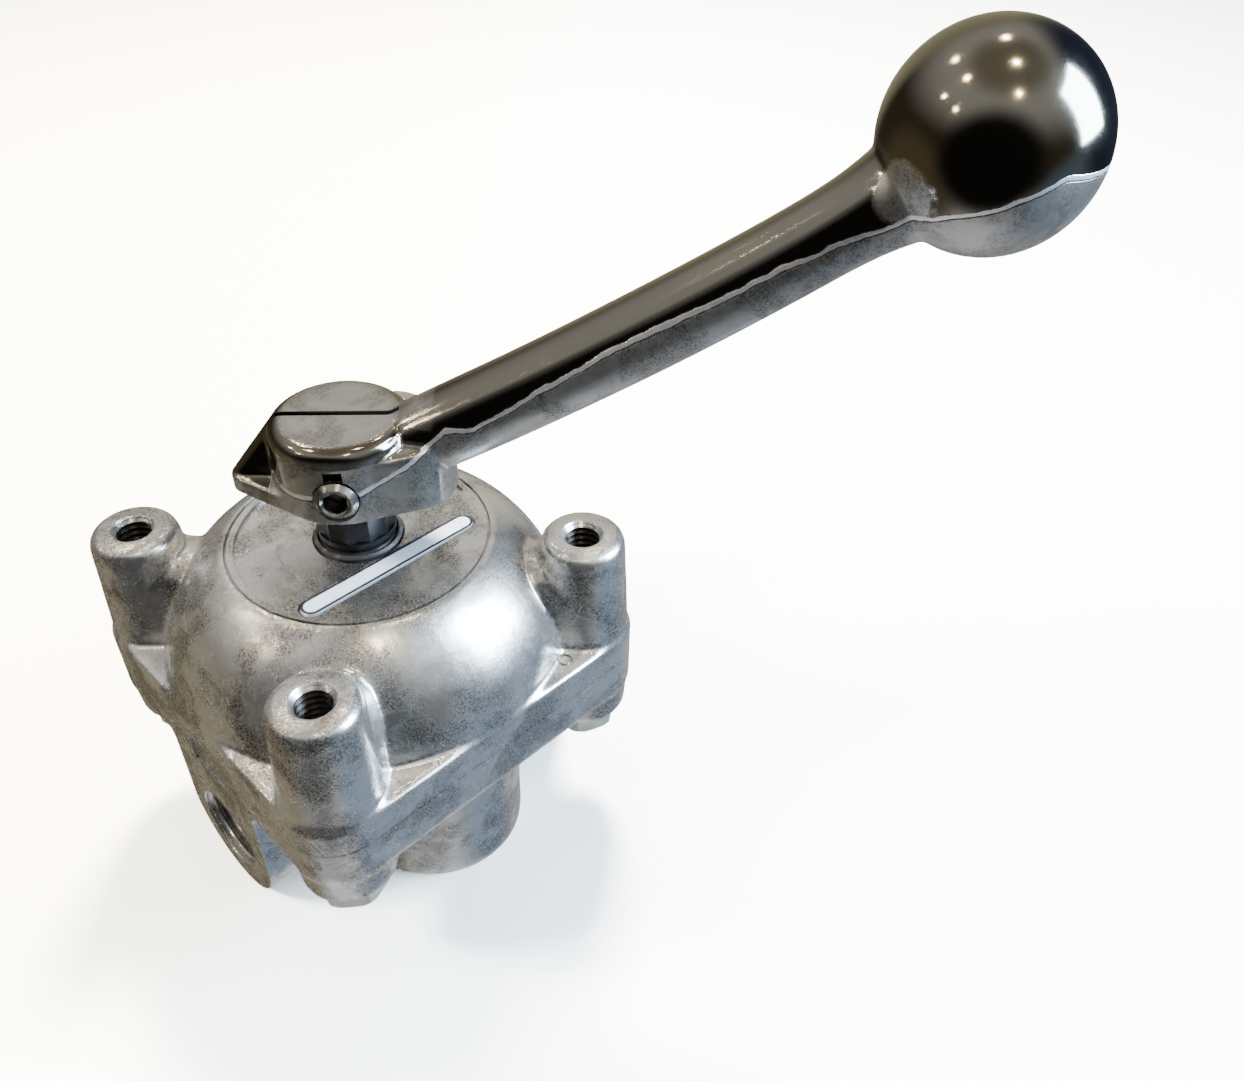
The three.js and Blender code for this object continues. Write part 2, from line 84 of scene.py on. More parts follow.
class ValveBodySizes(PropertyGroup):
    """Sizes of the two castings and what is screwed into them."""

    body_half: length("Half width", "Half the side of the square body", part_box("cover")[1][0])
    post: length("Post offset", "From the axis to a post's axis along X or Y", 30.15 * MM)
    base_top: length("Base top", "Height of the base's joint face", top_of("base_body"))
    cover_bottom: length("Cover bottom", "Height of the cover's joint face", bottom_of("cover"))
    post_top: length("Post top", "Height of the mounting posts", top_of("cover"))
    plate_top: length("Plate top", "Height of the cover's round plate", 69.9 * MM)
    flange_top: length("Flange top", "Height of the cover's flange", 48 * MM)
    flange_bottom: length("Flange bottom", "Height of the base's flange underside", 31.9 * MM)
    pad_bottom: length("Pad bottom", "Height of the corner pads' undersides", 25.5 * MM)
    bell_radius: length("Bell radius", "Where the bell leaves the flange", 39.6 * MM)
    bell_arc: length("Bell arc", "Radius of the bell's side in section", 28.15 * MM)
    plate_groove: length("Plate groove", "Radius of the groove round the plate", 25.0 * MM)
    side_port_height: length("Side port height", "Height of the side ports' axis", 14.5 * MM)
    side_boss: length("Side boss", "Radius of the side bosses", 14.2 * MM)
    bottom_boss: length("Bottom boss", "Radius of the bottom bosses", 17.4 * MM)
    port_circle: length("Port circle", "From the axis to the bottom ports", 16.5 * MM)
    port_thread: length("Port thread", "Minor radius of the ports' pipe thread", 8.4 * MM)
    port_depth: length("Port depth", "Depth of the ports' thread", 15 * MM)
    port_pitch: length("Port pitch", "Pitch of the ports' pipe thread", 1.814 * MM)
    screw_drill: length("Tapping drill", "Radius of the drilled holes in the posts", 3.25 * MM)
    screw_radius: length("Screw radius", "Radius of the cover screws", 3.95 * MM)
    screw_pitch: length("Screw pitch", "Pitch of the screws' thread", 1.411 * MM)
    screw_tip: length("Screw tip", "Height of the cover screws' ends", 56.6 * MM)
    hex_across: length("Hexagon", "Across the flats of the screws' heads", 12.7 * MM)
    cast_grain: length("Casting mesh", "Spacing of the castings' mesh", 0.56 * MM)


class ValveLeverSizes(PropertyGroup):
    """Sizes of the hand lever and the stem."""

    stem: length("Stem", "Radius of the stem", 7.3 * MM)
    stem_top: length("Stem top", "Height of the stem's end", top_of("stem"))
    hub: length("Hub", "Radius of the lever's hub", 12.7 * MM)
    hub_bottom: length("Hub bottom", "Height of the hub's underside", bottom_of("lever"))
    hub_top: length("Hub top", "Height of the hub's top", 97.3 * MM)
    hub_rim: length("Hub rim", "Radius of the hub's rolled edge", 2.8 * MM)
    pointer_reach: length("Pointer", "From the axis to the pointer's round tip", 17.3 * MM)
    pointer_tip: length("Pointer tip", "Radius of the pointer's tip", 3.5 * MM)
    arm: length("Arm", "Radius of the arm", 7.15 * MM)
    knob: length("Knob", "Radius of the ball knob", 17.5 * MM)
    knob_reach: length("Knob reach", "From the axis to the ball's centre", 104.5 * MM)
    knob_height: length("Knob height", "Height of the ball's centre", 145.8 * MM)
    set_screw: length("Set screw", "Radius of the set screw", 3.95 * MM)
    set_screw_height: length("Set screw height", "Height of the set screw's axis", 87.4 * MM)
    lever_grain: length("Lever mesh", "Spacing of the lever's mesh", 0.42 * MM)
    azimuth: FloatProperty(name="Lever azimuth", description="Where the lever points at rest",
                           default=radians(-42.6), subtype="ANGLE", unit="ROTATION")


class ValveFinishes(PropertyGroup):
    """Colours of the finishes."""

    casting: colour("Casting", "Satin die-cast skin", (0.72, 0.712, 0.70))
    # This dark colour paints the grime specks, and also the painted shade in corners, holes and grooves.
    casting_grime_and_shade: colour("Casting grime", "Oily dirt in the casting's corners", (0.075, 0.068, 0.062))
    polished: colour("Polished metal", "Polished upper half of the lever", (0.27, 0.255, 0.22))
    label: colour("Label", "Anodised strip", (0.42, 0.47, 0.55))
    black: colour("Black oxide", "Stem and set screw", (0.018, 0.018, 0.021))
    zinc: colour("Zinc", "Pale plated screws", (0.60, 0.60, 0.54))


class ValveStage(PropertyGroup):
    """The floor, lights and camera."""

    floor: colour("Floor", "Pale floor", (0.91, 0.91, 0.91))
    lens: FloatProperty(name="Lens", description="Focal length in millimetres", default=31.94,
                        unit="CAMERA")


def millimetres(group):
    """Every size of a property group, in millimetres."""
    sizes = {}
    for name in group.__annotations__:
        value = getattr(group, name)
        sizes[name] = value if name == "azimuth" else value / MM
    return SimpleNamespace(**sizes)


# ------------------------------------------------------------------ modelling helpers, in millimetres


def heading(azimuth, elevation):
    """The unit vector that points along an azimuth from +X and an elevation, both in degrees."""
    level = cos(radians(elevation))
    return (cos(radians(azimuth)) * level, sin(radians(azimuth)) * level, sin(radians(elevation)))


def deselect():
    if bpy.context.mode != "OBJECT":
        bpy.ops.object.mode_set(mode="OBJECT")
    bpy.ops.object.select_all(action="DESELECT")


def pick(obj, *others):
    deselect()
    for one in (*others, obj):
        one.select_set(True)
    bpy.context.view_layer.objects.active = obj


def named(name):
    obj = bpy.context.object
    obj.name = name
    obj.data.name = name
    return obj


def edit_all():
    bpy.ops.object.mode_set(mode="EDIT")
    bpy.ops.mesh.select_mode(type="FACE")
    bpy.ops.mesh.select_all(action="SELECT")


def outward(obj):
    """Merges doubles and turns the faces of a closed body outwards."""
    pick(obj)
    edit_all()
    bpy.ops.mesh.remove_doubles(threshold=1e-7)
    bpy.ops.mesh.normals_make_consistent(inside=False)
    bpy.ops.object.mode_set(mode="OBJECT")
    return obj


def placed(obj, turn=(0, 0, 0), move=(0, 0, 0)):
    """Turns and moves an object, and puts its place into its mesh."""
    pick(obj)
    obj.rotation_mode = "XYZ"
    obj.rotation_euler = turn
    obj.location = Vector(move) * MM
    bpy.ops.object.transform_apply(location=True, rotation=True, scale=True)
    return obj


def turned(name, profile, sides=64, centre=(0, 0)):
    """A round body drawn up from a disc, level by level. The profile is (radius, height) from the bottom."""
    deselect()
    x, y = centre
    radius, height = profile[0]
    bpy.ops.mesh.primitive_circle_add(vertices=sides, radius=radius * MM, fill_type="NGON",
                                      location=(x * MM, y * MM, height * MM))
    obj = named(name)
    edit_all()
    for next_radius, next_height in profile[1:]:
        bpy.ops.mesh.extrude_region_move(
            TRANSFORM_OT_translate={"value": (0, 0, (next_height - height) * MM)})
        scale = next_radius / radius
        bpy.ops.transform.resize(value=(scale, scale, 1),
                                 center_override=(x * MM, y * MM, next_height * MM))
        radius, height = next_radius, next_height
    placed(obj, move=(x, y, profile[0][1]))
    return outward(obj)


def block(name, low, high):
    """A square block between two corners."""
    deselect()
    middle = [(a + b) / 2 * MM for a, b in zip(low, high)]
    size = [(b - a) * MM for a, b in zip(low, high)]
    bpy.ops.mesh.primitive_cube_add(size=1, location=middle, scale=size)
    obj = named(name)
    bpy.ops.object.transform_apply(location=True, rotation=True, scale=True)
    return obj


def joined(name, parts):
    pick(parts[0], *parts[1:])
    if len(parts) > 1:
        bpy.ops.object.join()
    return named(name)


def wrapped(name, parts):
    """The tight skin round several bodies."""
    obj = joined(name, parts)
    edit_all()
    bpy.ops.mesh.convex_hull(delete_unused=True, use_existing_faces=False, join_triangles=True)
    bpy.ops.object.mode_set(mode="OBJECT")
    return outward(obj)


def copied(obj, name, turn=(0, 0, 0), move=(0, 0, 0)):
    pick(obj)
    bpy.ops.object.duplicate()
    return placed(named(name), turn, move)


def apply_modifier(obj, kind, **settings):
    pick(obj)
    modifier = obj.modifiers.new(kind.lower(), kind)
    for key, value in settings.items():
        setattr(modifier, key, value)
    bpy.ops.object.modifier_apply(modifier=modifier.name)


def cut(obj, *tools, operation="DIFFERENCE"):
    for tool in tools:
        apply_modifier(obj, "BOOLEAN", object=tool, operation=operation, solver="MANIFOLD")
        bpy.data.meshes.remove(tool.data)
    return obj


def fused(name, parts, grain, blending):
    """Rough bodies melted into one casting, with its corners blended over."""
    obj = joined(name, parts)
    apply_modifier(obj, "REMESH", mode="VOXEL", voxel_size=grain * MM, adaptivity=0.0)
    apply_modifier(obj, "SMOOTH", factor=0.5, iterations=blending)
    return obj


def faced(obj, axis, sign, level):
    """Faces the body off flat across an axis (0, 1 or 2), on its low (-1) or high (+1) side."""
    wide = 200
    low, high = [-wide, -wide, -wide], [wide, wide, wide]
    if sign > 0:
        low[axis] = level
    else:
        high[axis] = level
    return cut(obj, block("facing cutter", low, high))


def softened(obj, angle=35):
    pick(obj)
    bpy.ops.object.shade_smooth_by_angle(angle=radians(angle))
    return obj


def places(obj):
    """Vertex positions, in millimetres."""
    points = np.empty(len(obj.data.vertices) * 3)
    obj.data.vertices.foreach_get("co", points)
    return points.reshape(-1, 3) / MM


def set_places(obj, points):
    obj.data.vertices.foreach_set("co", (points * MM).ravel())
    obj.data.update()


def set_mask(obj, name, values):
    attribute = obj.data.attributes.new(name, "FLOAT", "POINT")
    attribute.data.foreach_set("value", values.astype(np.float32))


def finished(obj, body, slot, *materials, nodes):
    """Gives a piece its materials, its body and the CAD nodes that it stands for; the slot is not used."""
    obj.data.materials.clear()
    for material in materials:
        obj.data.materials.append(material)
    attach(obj, body)
    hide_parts(*nodes)
    return obj


def thread_cutter(name, minor, depth, pitch, low, high, sides=48, taper=0.0):
    """A tap: rings of thread from low to high, its radius falling by taper for each millimetre of height."""
    profile = [(minor, low)]
    height = low + pitch / 2
    while height + pitch / 2 < high:
        slope = taper * (height - low)
        profile += [(minor - slope, height - pitch * 0.42), (minor + depth - slope, height - pitch * 0.06),
                    (minor + depth - slope, height + pitch * 0.06), (minor - slope, height + pitch * 0.42)]
        height += pitch
    profile.append((profile[-1][0], high))
    return turned(name, profile, sides)


# ------------------------------------------------------------------ shader helpers


class Graph:
    """A node tree being built, with short ways to add and link nodes."""

    def __init__(self, tree):
        self.tree = tree

    def add(self, kind, inputs=None, **settings):
        node = self.tree.nodes.new(kind)
        for key, value in settings.items():
            setattr(node, key, value)
        for key, value in (inputs or {}).items():
            self.feed(node.inputs[key], value)
        return node

    def feed(self, socket, value):
        if isinstance(value, bpy.types.NodeSocket):
            self.tree.links.new(value, socket)
        else:
            socket.default_value = value

    def maths(self, operation, a, b=0.0, c=0.0, clamp=False):
        return self.add("ShaderNodeMath", {0: a, 1: b, 2: c}, operation=operation, use_clamp=clamp).outputs[0]

    def blend(self, factor, a, b, mode="MIX"):
        node = self.add("ShaderNodeMix", data_type="RGBA", blend_type=mode)
        self.feed(node.inputs[0], factor)
        self.feed(node.inputs[6], a)
        self.feed(node.inputs[7], b)
        return node.outputs[2]

    def spread(self, value, low, high, to_low=0.0, to_high=1.0, smooth=True):
        kind = "SMOOTHSTEP" if smooth else "LINEAR"
        node = self.add("ShaderNodeMapRange", interpolation_type=kind)
        for index, entry in enumerate((value, low, high, to_low, to_high)):
            self.feed(node.inputs[index], entry)
        return node.outputs[0]

    def noise(self, vector, scale, detail=3.0, roughness=0.6, distortion=0.0):
        inputs = {"Vector": vector, "Scale": scale, "Detail": detail, "Roughness": roughness,
                  "Distortion": distortion}
        return self.add("ShaderNodeTexNoise", inputs).outputs["Fac"]

    def group(self, tree, inputs):
        """Adds a node group and feeds its named inputs."""
        return self.add("ShaderNodeGroup", inputs, node_tree=tree).outputs

    def swing(self, value, amount):
        """A noise value as a swing about zero, of the given full width."""
        return self.maths("MULTIPLY", self.maths("SUBTRACT", value, 0.5), amount)

    def inverse(self, value):
        return self.maths("SUBTRACT", 1.0, value)

    def mask(self, name):
        return self.add("ShaderNodeAttribute", attribute_name=name).outputs["Fac"]


def shader_group(name, inputs, outputs, build):
    """A node group with named sockets, built once."""
    tree = bpy.data.node_groups.get(name)
    if tree:
        return tree
    tree = bpy.data.node_groups.new(name, "ShaderNodeTree")
    kinds = {"float": "NodeSocketFloat", "colour": "NodeSocketColor", "vector": "NodeSocketVector"}
    for label, kind, default in inputs:
        socket = tree.interface.new_socket(label, in_out="INPUT", socket_type=kinds[kind])
        socket.default_value = default
    for label, kind in outputs:
        tree.interface.new_socket(label, in_out="OUTPUT", socket_type=kinds[kind])
    graph = Graph(tree)
    entry = tree.nodes.new("NodeGroupInput")
    leave = tree.nodes.new("NodeGroupOutput")
    for label, value in build(graph, entry.outputs).items():
        graph.feed(leave.inputs[label], value)
    return tree


def casting_skin():
    """Satin skin of a die casting: flow clouds that gather fine dark grain, and a peened height."""

    def build(g, entry):
        place = entry["Place"]
        clouds = g.noise(place, 80.0, 3.0, 0.6, 0.5)
        streaks = g.noise(place, 230.0, 3.0, 0.6, 0.8)
        grain = g.noise(place, 2900.0, 2.0, 0.6)
        patches = g.spread(g.maths("ADD", clouds, g.swing(streaks, 0.5)), 0.43, 0.63)
        speck = g.spread(grain, 0.44, 0.6)
        strength = g.maths("ADD", 0.1, g.maths("MULTIPLY", patches, 0.9))
        speck = g.maths("ADD", 0.3, g.maths("MULTIPLY", speck, 0.7))
        grime = g.maths("MULTIPLY", g.maths("MULTIPLY", speck, strength), entry["Speckle"], clamp=True)
        pale = g.blend(g.spread(clouds, 0.3, 0.7), entry["Second colour"], entry["Colour"])
        tone = g.blend(grime, pale, entry["Speck colour"])
        rough = g.maths("ADD", entry["Roughness"], g.swing(streaks, 0.22))
        rough = g.maths("ADD", rough, g.maths("MULTIPLY", grime, 0.1))
        peel = g.noise(place, 750.0, 3.0, 0.6)
        height = g.maths("ADD", g.maths("MULTIPLY", grain, 0.5), peel)
        return {"Colour": tone, "Roughness": rough, "Height": height, "Grime": grime}

    inputs = [("Place", "vector", (0, 0, 0)), ("Colour", "colour", (0.5, 0.5, 0.5, 1)),
              ("Second colour", "colour", (0.6, 0.6, 0.6, 1)), ("Speck colour", "colour", (0.1, 0.1, 0.1, 1)),
              ("Speckle", "float", 0.6), ("Roughness", "float", 0.4)]
    outputs = [("Colour", "colour"), ("Roughness", "float"), ("Height", "float"), ("Grime", "float")]
    return shader_group("Casting skin", inputs, outputs, build)


def corner_dirt_and_shade():
    """Oily dirt and painted shade that darken where the surface is shut in, and bare metal where it stands
    proud.
    """

    def build(g, entry):
        ragged = g.noise(entry["Place"], 260.0, 4.0, 0.7)
        shut = g.maths("ADD", g.inverse(entry["Openness"]), g.swing(ragged, 0.45))
        # Painted shade with oily dirt: the colour darkens by how shut in the surface is.
        dirt_and_shade = g.maths("MULTIPLY", g.spread(shut, 0.28, 0.72), entry["Amount"], clamp=True)
        tone = g.blend(dirt_and_shade, entry["Colour"], entry["Dirt and shade colour"])
        rough = g.maths("ADD", entry["Roughness"], g.maths("MULTIPLY", dirt_and_shade, 0.25))
        metal = g.inverse(g.maths("MULTIPLY", dirt_and_shade, 0.06))
        return {"Colour": tone, "Roughness": rough, "Metallic": metal}

    inputs = [("Place", "vector", (0, 0, 0)), ("Colour", "colour", (0.5, 0.5, 0.5, 1)),
              ("Dirt and shade colour", "colour", (0.07, 0.065, 0.06, 1)), ("Openness", "float", 1.0),
              ("Amount", "float", 0.8), ("Roughness", "float", 0.4)]
    outputs = [("Colour", "colour"), ("Roughness", "float"), ("Metallic", "float")]
    return shader_group("Corner dirt and shade", inputs, outputs, build)


def fine_scratches():
    """Long fine scratches along X of the given place."""

    def build(g, entry):
        stretch = g.add("ShaderNodeMapping", {"Vector": entry["Place"], "Scale": (40.0, 1800.0, 1800.0)})
        lines = g.noise(stretch.outputs[0], 1.0, 3.0, 0.6, 0.2)
        depth = g.spread(lines, 0.55, 0.75)
        rough = g.maths("ADD", entry["Roughness"], g.maths("MULTIPLY", depth, entry["Amount"]))
        return {"Roughness": rough, "Height": lines}

    inputs = [("Place", "vector", (0, 0, 0)), ("Roughness", "float", 0.1), ("Amount", "float", 0.1)]
    outputs = [("Roughness", "float"), ("Height", "float")]
    return shader_group("Fine scratches", inputs, outputs, build)


def four(rgb):
    return (*rgb, 1.0)


def new_material(name):
    """A material with its Principled shader, its graph and the object's own coordinates."""
    material = bpy.data.materials.get(name) or bpy.data.materials.new(name)
    material.use_nodes = True
    tree = material.node_tree
    tree.nodes.clear()
    graph = Graph(tree)
    shader = graph.add("ShaderNodeBsdfPrincipled")
    output = graph.add("ShaderNodeOutputMaterial")
    tree.links.new(shader.outputs[0], output.inputs["Surface"])
    place = graph.add("ShaderNodeTexCoord").outputs["Object"]
    return material, graph, shader, place


def with_bump(g, shader, height, strength, distance):
    bump = g.add("ShaderNodeBump", {"Height": height, "Strength": strength, "Distance": distance * MM})
    g.feed(shader.inputs["Normal"], bump.outputs["Normal"])


def openness(g, reach):
    """How open a surface is to its surroundings within the reach, in millimetres."""
    node = g.add("ShaderNodeAmbientOcclusion", {"Distance": reach * MM}, samples=6, only_local=True)
    return node.outputs["AO"]


CHALK = 0.02  # how far the satin skin scatters light like chalk instead of mirroring it


def cast_aluminium(finishes, name="cast_aluminium", speckle=0.85, roughness=0.25, dirt_and_shade=0.8):
    material, g, shader, place = new_material(name)
    base = Vector(finishes.casting)
    grime = Vector(finishes.casting_grime_and_shade)
    skin = g.group(casting_skin(), {
        "Place": place, "Colour": four(base), "Second colour": four(base * 1.22),
        "Speck colour": four(grime * 1.6), "Speckle": speckle, "Roughness": roughness})
    # Dirt and painted shade darken the skin where it is shut in.
    soil_and_shade = g.group(corner_dirt_and_shade(), {
        "Place": place, "Colour": skin["Colour"], "Dirt and shade colour": four(grime), "Openness": openness(g, 4.0),
        "Amount": dirt_and_shade, "Roughness": skin["Roughness"]})
    # Painted shade: the tapped holes are painted near black inside.
    recess_shade = g.mask("recess_shade")
    g.feed(shader.inputs["Base Color"], g.blend(recess_shade, soil_and_shade["Colour"], four(grime * 0.3)))
    g.feed(shader.inputs["Roughness"], soil_and_shade["Roughness"])
    g.feed(shader.inputs["Metallic"], g.maths("MULTIPLY", soil_and_shade["Metallic"], 1.0 - CHALK))
    with_bump(g, shader, skin["Height"], 0.36, 0.1)
    return material


def lever_metal(finishes):
    """One casting: polished above its parting line, satin below it, with a ragged line between."""
    material, g, shader, place = new_material("lever_metal")
    above = g.mask("above_parting")
    polish = g.mask("polish")
    wander = g.maths("SUBTRACT", g.noise(place, 210.0, 3.0, 0.55), 0.5)
    edge = g.maths("ADD", above, g.maths("MULTIPLY", wander, 1.5))
    gloss = g.maths("MULTIPLY", g.spread(edge, 0.82, 0.98), polish)
    crack_place = g.maths("ADD", above, g.maths("MULTIPLY", wander, 1.1))
    crack = g.inverse(g.spread(g.maths("ABSOLUTE", crack_place), 0.05, 0.17))
    strip = g.maths("MULTIPLY", g.spread(crack_place, 0.08, 0.2), g.inverse(gloss))
    strip = g.maths("MULTIPLY", strip, g.inverse(g.spread(crack_place, 0.9, 1.2)))
    base = Vector(finishes.casting) * 0.56
    grime = Vector(finishes.casting_grime_and_shade)
    skin = g.group(casting_skin(), {
        "Place": place, "Colour": four(base), "Second colour": four(base * 1.2),
        "Speck colour": four(grime * 1.8), "Speckle": 0.8, "Roughness": 0.34})
    # Dirt and painted shade darken the skin where it is shut in.
    soil_and_shade = g.group(corner_dirt_and_shade(), {
        "Place": place, "Colour": skin["Colour"], "Dirt and shade colour": four(grime), "Openness": openness(g, 3.0),
        "Amount": 0.8, "Roughness": skin["Roughness"]})
    lines = g.group(fine_scratches(), {"Place": place, "Roughness": 0.085, "Amount": 0.05})
    smear = g.spread(g.noise(place, 60.0, 3.0, 0.6), 0.35, 0.7, 0.0, 0.05)
    bright = g.maths("ADD", lines["Roughness"], smear)
    tone = g.blend(strip, soil_and_shade["Colour"], four(Vector(finishes.casting) * 1.45))
    tone = g.blend(gloss, tone, four(finishes.polished))
    tone = g.blend(crack, tone, four(grime * 0.5))
    rough = g.blend(gloss, soil_and_shade["Roughness"], bright)
    rough = g.maths("MAXIMUM", rough, g.maths("MULTIPLY", crack, 0.6))
    rough = g.maths("MAXIMUM", rough, g.maths("MULTIPLY", strip, 0.42))
    # Painted shade: the hub's groove and the notch over the set screw are painted near black.
    recess_shade = g.mask("recess_shade")
    tone = g.blend(recess_shade, tone, four(grime * 0.2))
    rough = g.maths("MAXIMUM", rough, g.maths("MULTIPLY", recess_shade, 0.6))
    g.feed(shader.inputs["Base Color"], tone)
    g.feed(shader.inputs["Roughness"], rough)
    satin = g.maths("MULTIPLY", soil_and_shade["Metallic"], 1.0 - CHALK)
    g.feed(shader.inputs["Metallic"], g.maths("MAXIMUM", satin, gloss))
    peel = g.maths("MULTIPLY", skin["Height"], g.inverse(g.maths("MULTIPLY", gloss, 0.97)))
    height = g.maths("SUBTRACT", peel, g.maths("MULTIPLY", crack, 1.6))
    height = g.maths("ADD", height, g.maths("MULTIPLY", strip, 0.5))
    with_bump(g, shader, height, 0.4, 0.14)
    return material


def plain_metal(name, rgb, roughness, metallic=1.0, variation=0.1, grain=700.0, dirt_and_shade=0.5, bump=0.2):
    """Machined, plated or blackened metal with uneven shine, and dirt with painted shade in its corners."""
    material, g, shader, place = new_material(name)
    cloud = g.noise(place, grain * 0.25, 3.0, 0.6)
    fine = g.noise(place, grain, 3.0, 0.65)
    base = Vector(rgb)
    tone = g.blend(g.spread(cloud, 0.35, 0.65), four(base * (1 - variation)), four(base * (1 + variation)))
    # Dirt and painted shade darken the metal where it is shut in.
    soil_and_shade = g.group(corner_dirt_and_shade(), {
        "Place": place, "Colour": tone, "Dirt and shade colour": four(base * 0.15), "Openness": openness(g, 2.0),
        "Amount": dirt_and_shade, "Roughness": g.maths("ADD", roughness, g.swing(fine, 0.25))})
    g.feed(shader.inputs["Base Color"], soil_and_shade["Colour"])
    g.feed(shader.inputs["Roughness"], soil_and_shade["Roughness"])
    shader.inputs["Metallic"].default_value = metallic
    with_bump(g, shader, fine, bump, 0.05)
    return material


def black_rubber():
    material, g, shader, place = new_material("black_rubber")
    dust = g.spread(g.noise(place, 500.0, 4.0, 0.7), 0.5, 0.75)
    tone = g.blend(dust, four((0.012, 0.012, 0.013)), four((0.05, 0.048, 0.045)))
    g.feed(shader.inputs["Base Color"], tone)
    g.feed(shader.inputs["Roughness"], g.maths("ADD", 0.55, g.maths("MULTIPLY", dust, 0.3)))
    with_bump(g, shader, g.noise(place, 900.0, 2.0), 0.15, 0.05)
    return material


def label_face(finishes):
    """Anodised strip: fine brushing along its length and faint wear."""
    material, g, shader, place = new_material("label_face")
    lines = g.group(fine_scratches(), {"Place": place, "Roughness": 0.42, "Amount": 0.12})
    wear = g.spread(g.noise(place, 420.0, 4.0, 0.7), 0.58, 0.74)
    tone = g.blend(wear, four(finishes.label), four(Vector(finishes.label) * 0.72))
    g.feed(shader.inputs["Base Color"], tone)
    g.feed(shader.inputs["Roughness"], lines["Roughness"])
    shader.inputs["Metallic"].default_value = 0.15
    with_bump(g, shader, lines["Height"], 0.1, 0.03)
    return material


# ------------------------------------------------------------------ base


def base_rough(s):
    """The base as it comes out of the die, a little over its machined faces."""
    corner = s.body_half - s.post
    above = s.base_top + 2
    flange_parts = []
    for sx, sy in CORNERS:
        profile = [(corner - 0.7, s.flange_bottom), (corner - 0.15, s.flange_bottom + 0.8),
                   (corner, s.flange_bottom + 1.6), (corner, above)]
        flange_parts.append(turned("flange corner", profile, 48, (sx * s.post, sy * s.post)))
    parts = [wrapped("flange", flange_parts)]
    for sx, sy in CORNERS:
        pad = [(corner - 1.2, s.pad_bottom), (corner - 0.85, s.pad_bottom + 0.5),
               (corner - 0.45, s.flange_bottom), (corner, s.flange_bottom + 1.5)]
        parts.append(turned("pad", pad, 48, (sx * s.post, sy * s.post)))
    for side in (-1, 1):
        boss = [(s.bottom_boss - 0.5, -0.6), (s.bottom_boss - 0.1, 0.8), (s.bottom_boss, 3),
                (s.bottom_boss + 0.1, 27), (s.bottom_boss + 0.5, 29.2), (s.bottom_boss + 1.5, 31),
                (s.bottom_boss + 3.4, s.flange_bottom + 0.5)]
        parts.append(turned("bottom boss", boss, 96, (0, side * s.port_circle)))
    reach = s.body_half + 0.6
    barrel = placed(turned("barrel", [(s.side_boss, -reach), (s.side_boss, reach)], 96),
                    turn=(0, pi / 2, 0), move=(0, 0, s.side_port_height))
    saddle = block("saddle", (-reach, -s.side_boss, s.side_port_height),
                   (reach, s.side_boss, s.flange_bottom + 1))
    parts.append(wrapped("side bosses", [barrel, saddle]))
    return fused("base_casting", parts, s.cast_grain, 5)


def port_cutter(s, name):
    """The tapered pipe thread of a port, opening downwards at height 0, with its countersunk mouth."""
    mouth = turned(f"{name} mouth", [(s.port_thread + 1.5, -1), (s.port_thread + 1.0, 0.0),
                                     (s.port_thread + 0.2, 1.1)], 64)
    tap = thread_cutter(f"{name} thread", s.port_thread - 0.15, 1.0, s.port_pitch, -0.5, s.port_depth, 64,
                        1 / 32)
    return mouth, tap


def base_machined(s, base):
    passage = 3.4
    seal_bore, seal_floor = 6.3, 31.0
    tools = []
    for side in (-1, 1):
        for cutter in port_cutter(s, "side port"):
            mouth = (side * s.body_half, 0, s.side_port_height)
            tools.append(placed(cutter, turn=(0, -side * pi / 2, 0), move=mouth))
        for cutter in port_cutter(s, "bottom port"):
            tools.append(placed(cutter, move=(0, side * s.port_circle, 0)))
        cross_end = s.body_half - s.port_depth + 1
        cross = turned("cross passage", [(passage, s.port_circle - 0.5), (passage, cross_end)], 32)
        tools.append(placed(cross, turn=(0, side * pi / 2, 0), move=(0, 0, s.side_port_height)))
        tools.append(turned("rise", [(passage, s.side_port_height), (passage, seal_floor + 1)], 32,
                            (side * s.port_circle, 0)))
        tools.append(turned("rise", [(passage, s.port_depth - 1), (passage, seal_floor + 1)], 32,
                            (0, side * s.port_circle)))
        for centre in ((side * s.port_circle, 0), (0, side * s.port_circle)):
            bore = [(seal_bore, seal_floor), (seal_bore, s.base_top + 1)]
            tools.append(turned("seal bore", bore, 40, centre))
        tools.append(block("mark panel", (side * s.body_half - 0.45, -5.4, s.flange_bottom + 1.0),
                           (side * s.body_half + 0.45, 5.4, 39.2)))
    for sx, sy in CORNERS:
        hole = [(s.screw_radius + 0.3, s.pad_bottom - 3), (s.screw_radius + 0.3, 43)]
        tools.append(turned("screw hole", hole, 32, (sx * s.post, sy * s.post)))
    tools.append(turned("pivot bore", [(4.3, 33.7), (4.3, 43)], 32))
    groove = turned("seal groove", [(33.8, 39.35), (33.8, 43)], 96)
    tools.append(cut(groove, turned("groove core", [(31.2, 38), (31.2, 44)], 96)))
    return cut(base, *tools)


class VALVE_OT_base(Operator):
    """Cast and machine the base with its four ports"""

    bl_idname = "valve.base"
    bl_label = "Base"

    def execute(self, context):
        s = millimetres(context.scene.valve_body)
        base = base_rough(s)
        faced(base, 2, 1, s.base_top)
        faced(base, 2, -1, 0)
        for side in (-1, 1):
            faced(base, 0, side, side * s.body_half)
        base_machined(s, base)
        softened(base)
        skin = cast_aluminium(context.scene.valve_finishes)
        finished(base, BODY, "cast_aluminium", skin, nodes=["base_body"])
        return {"FINISHED"}


# ------------------------------------------------------------------ cover


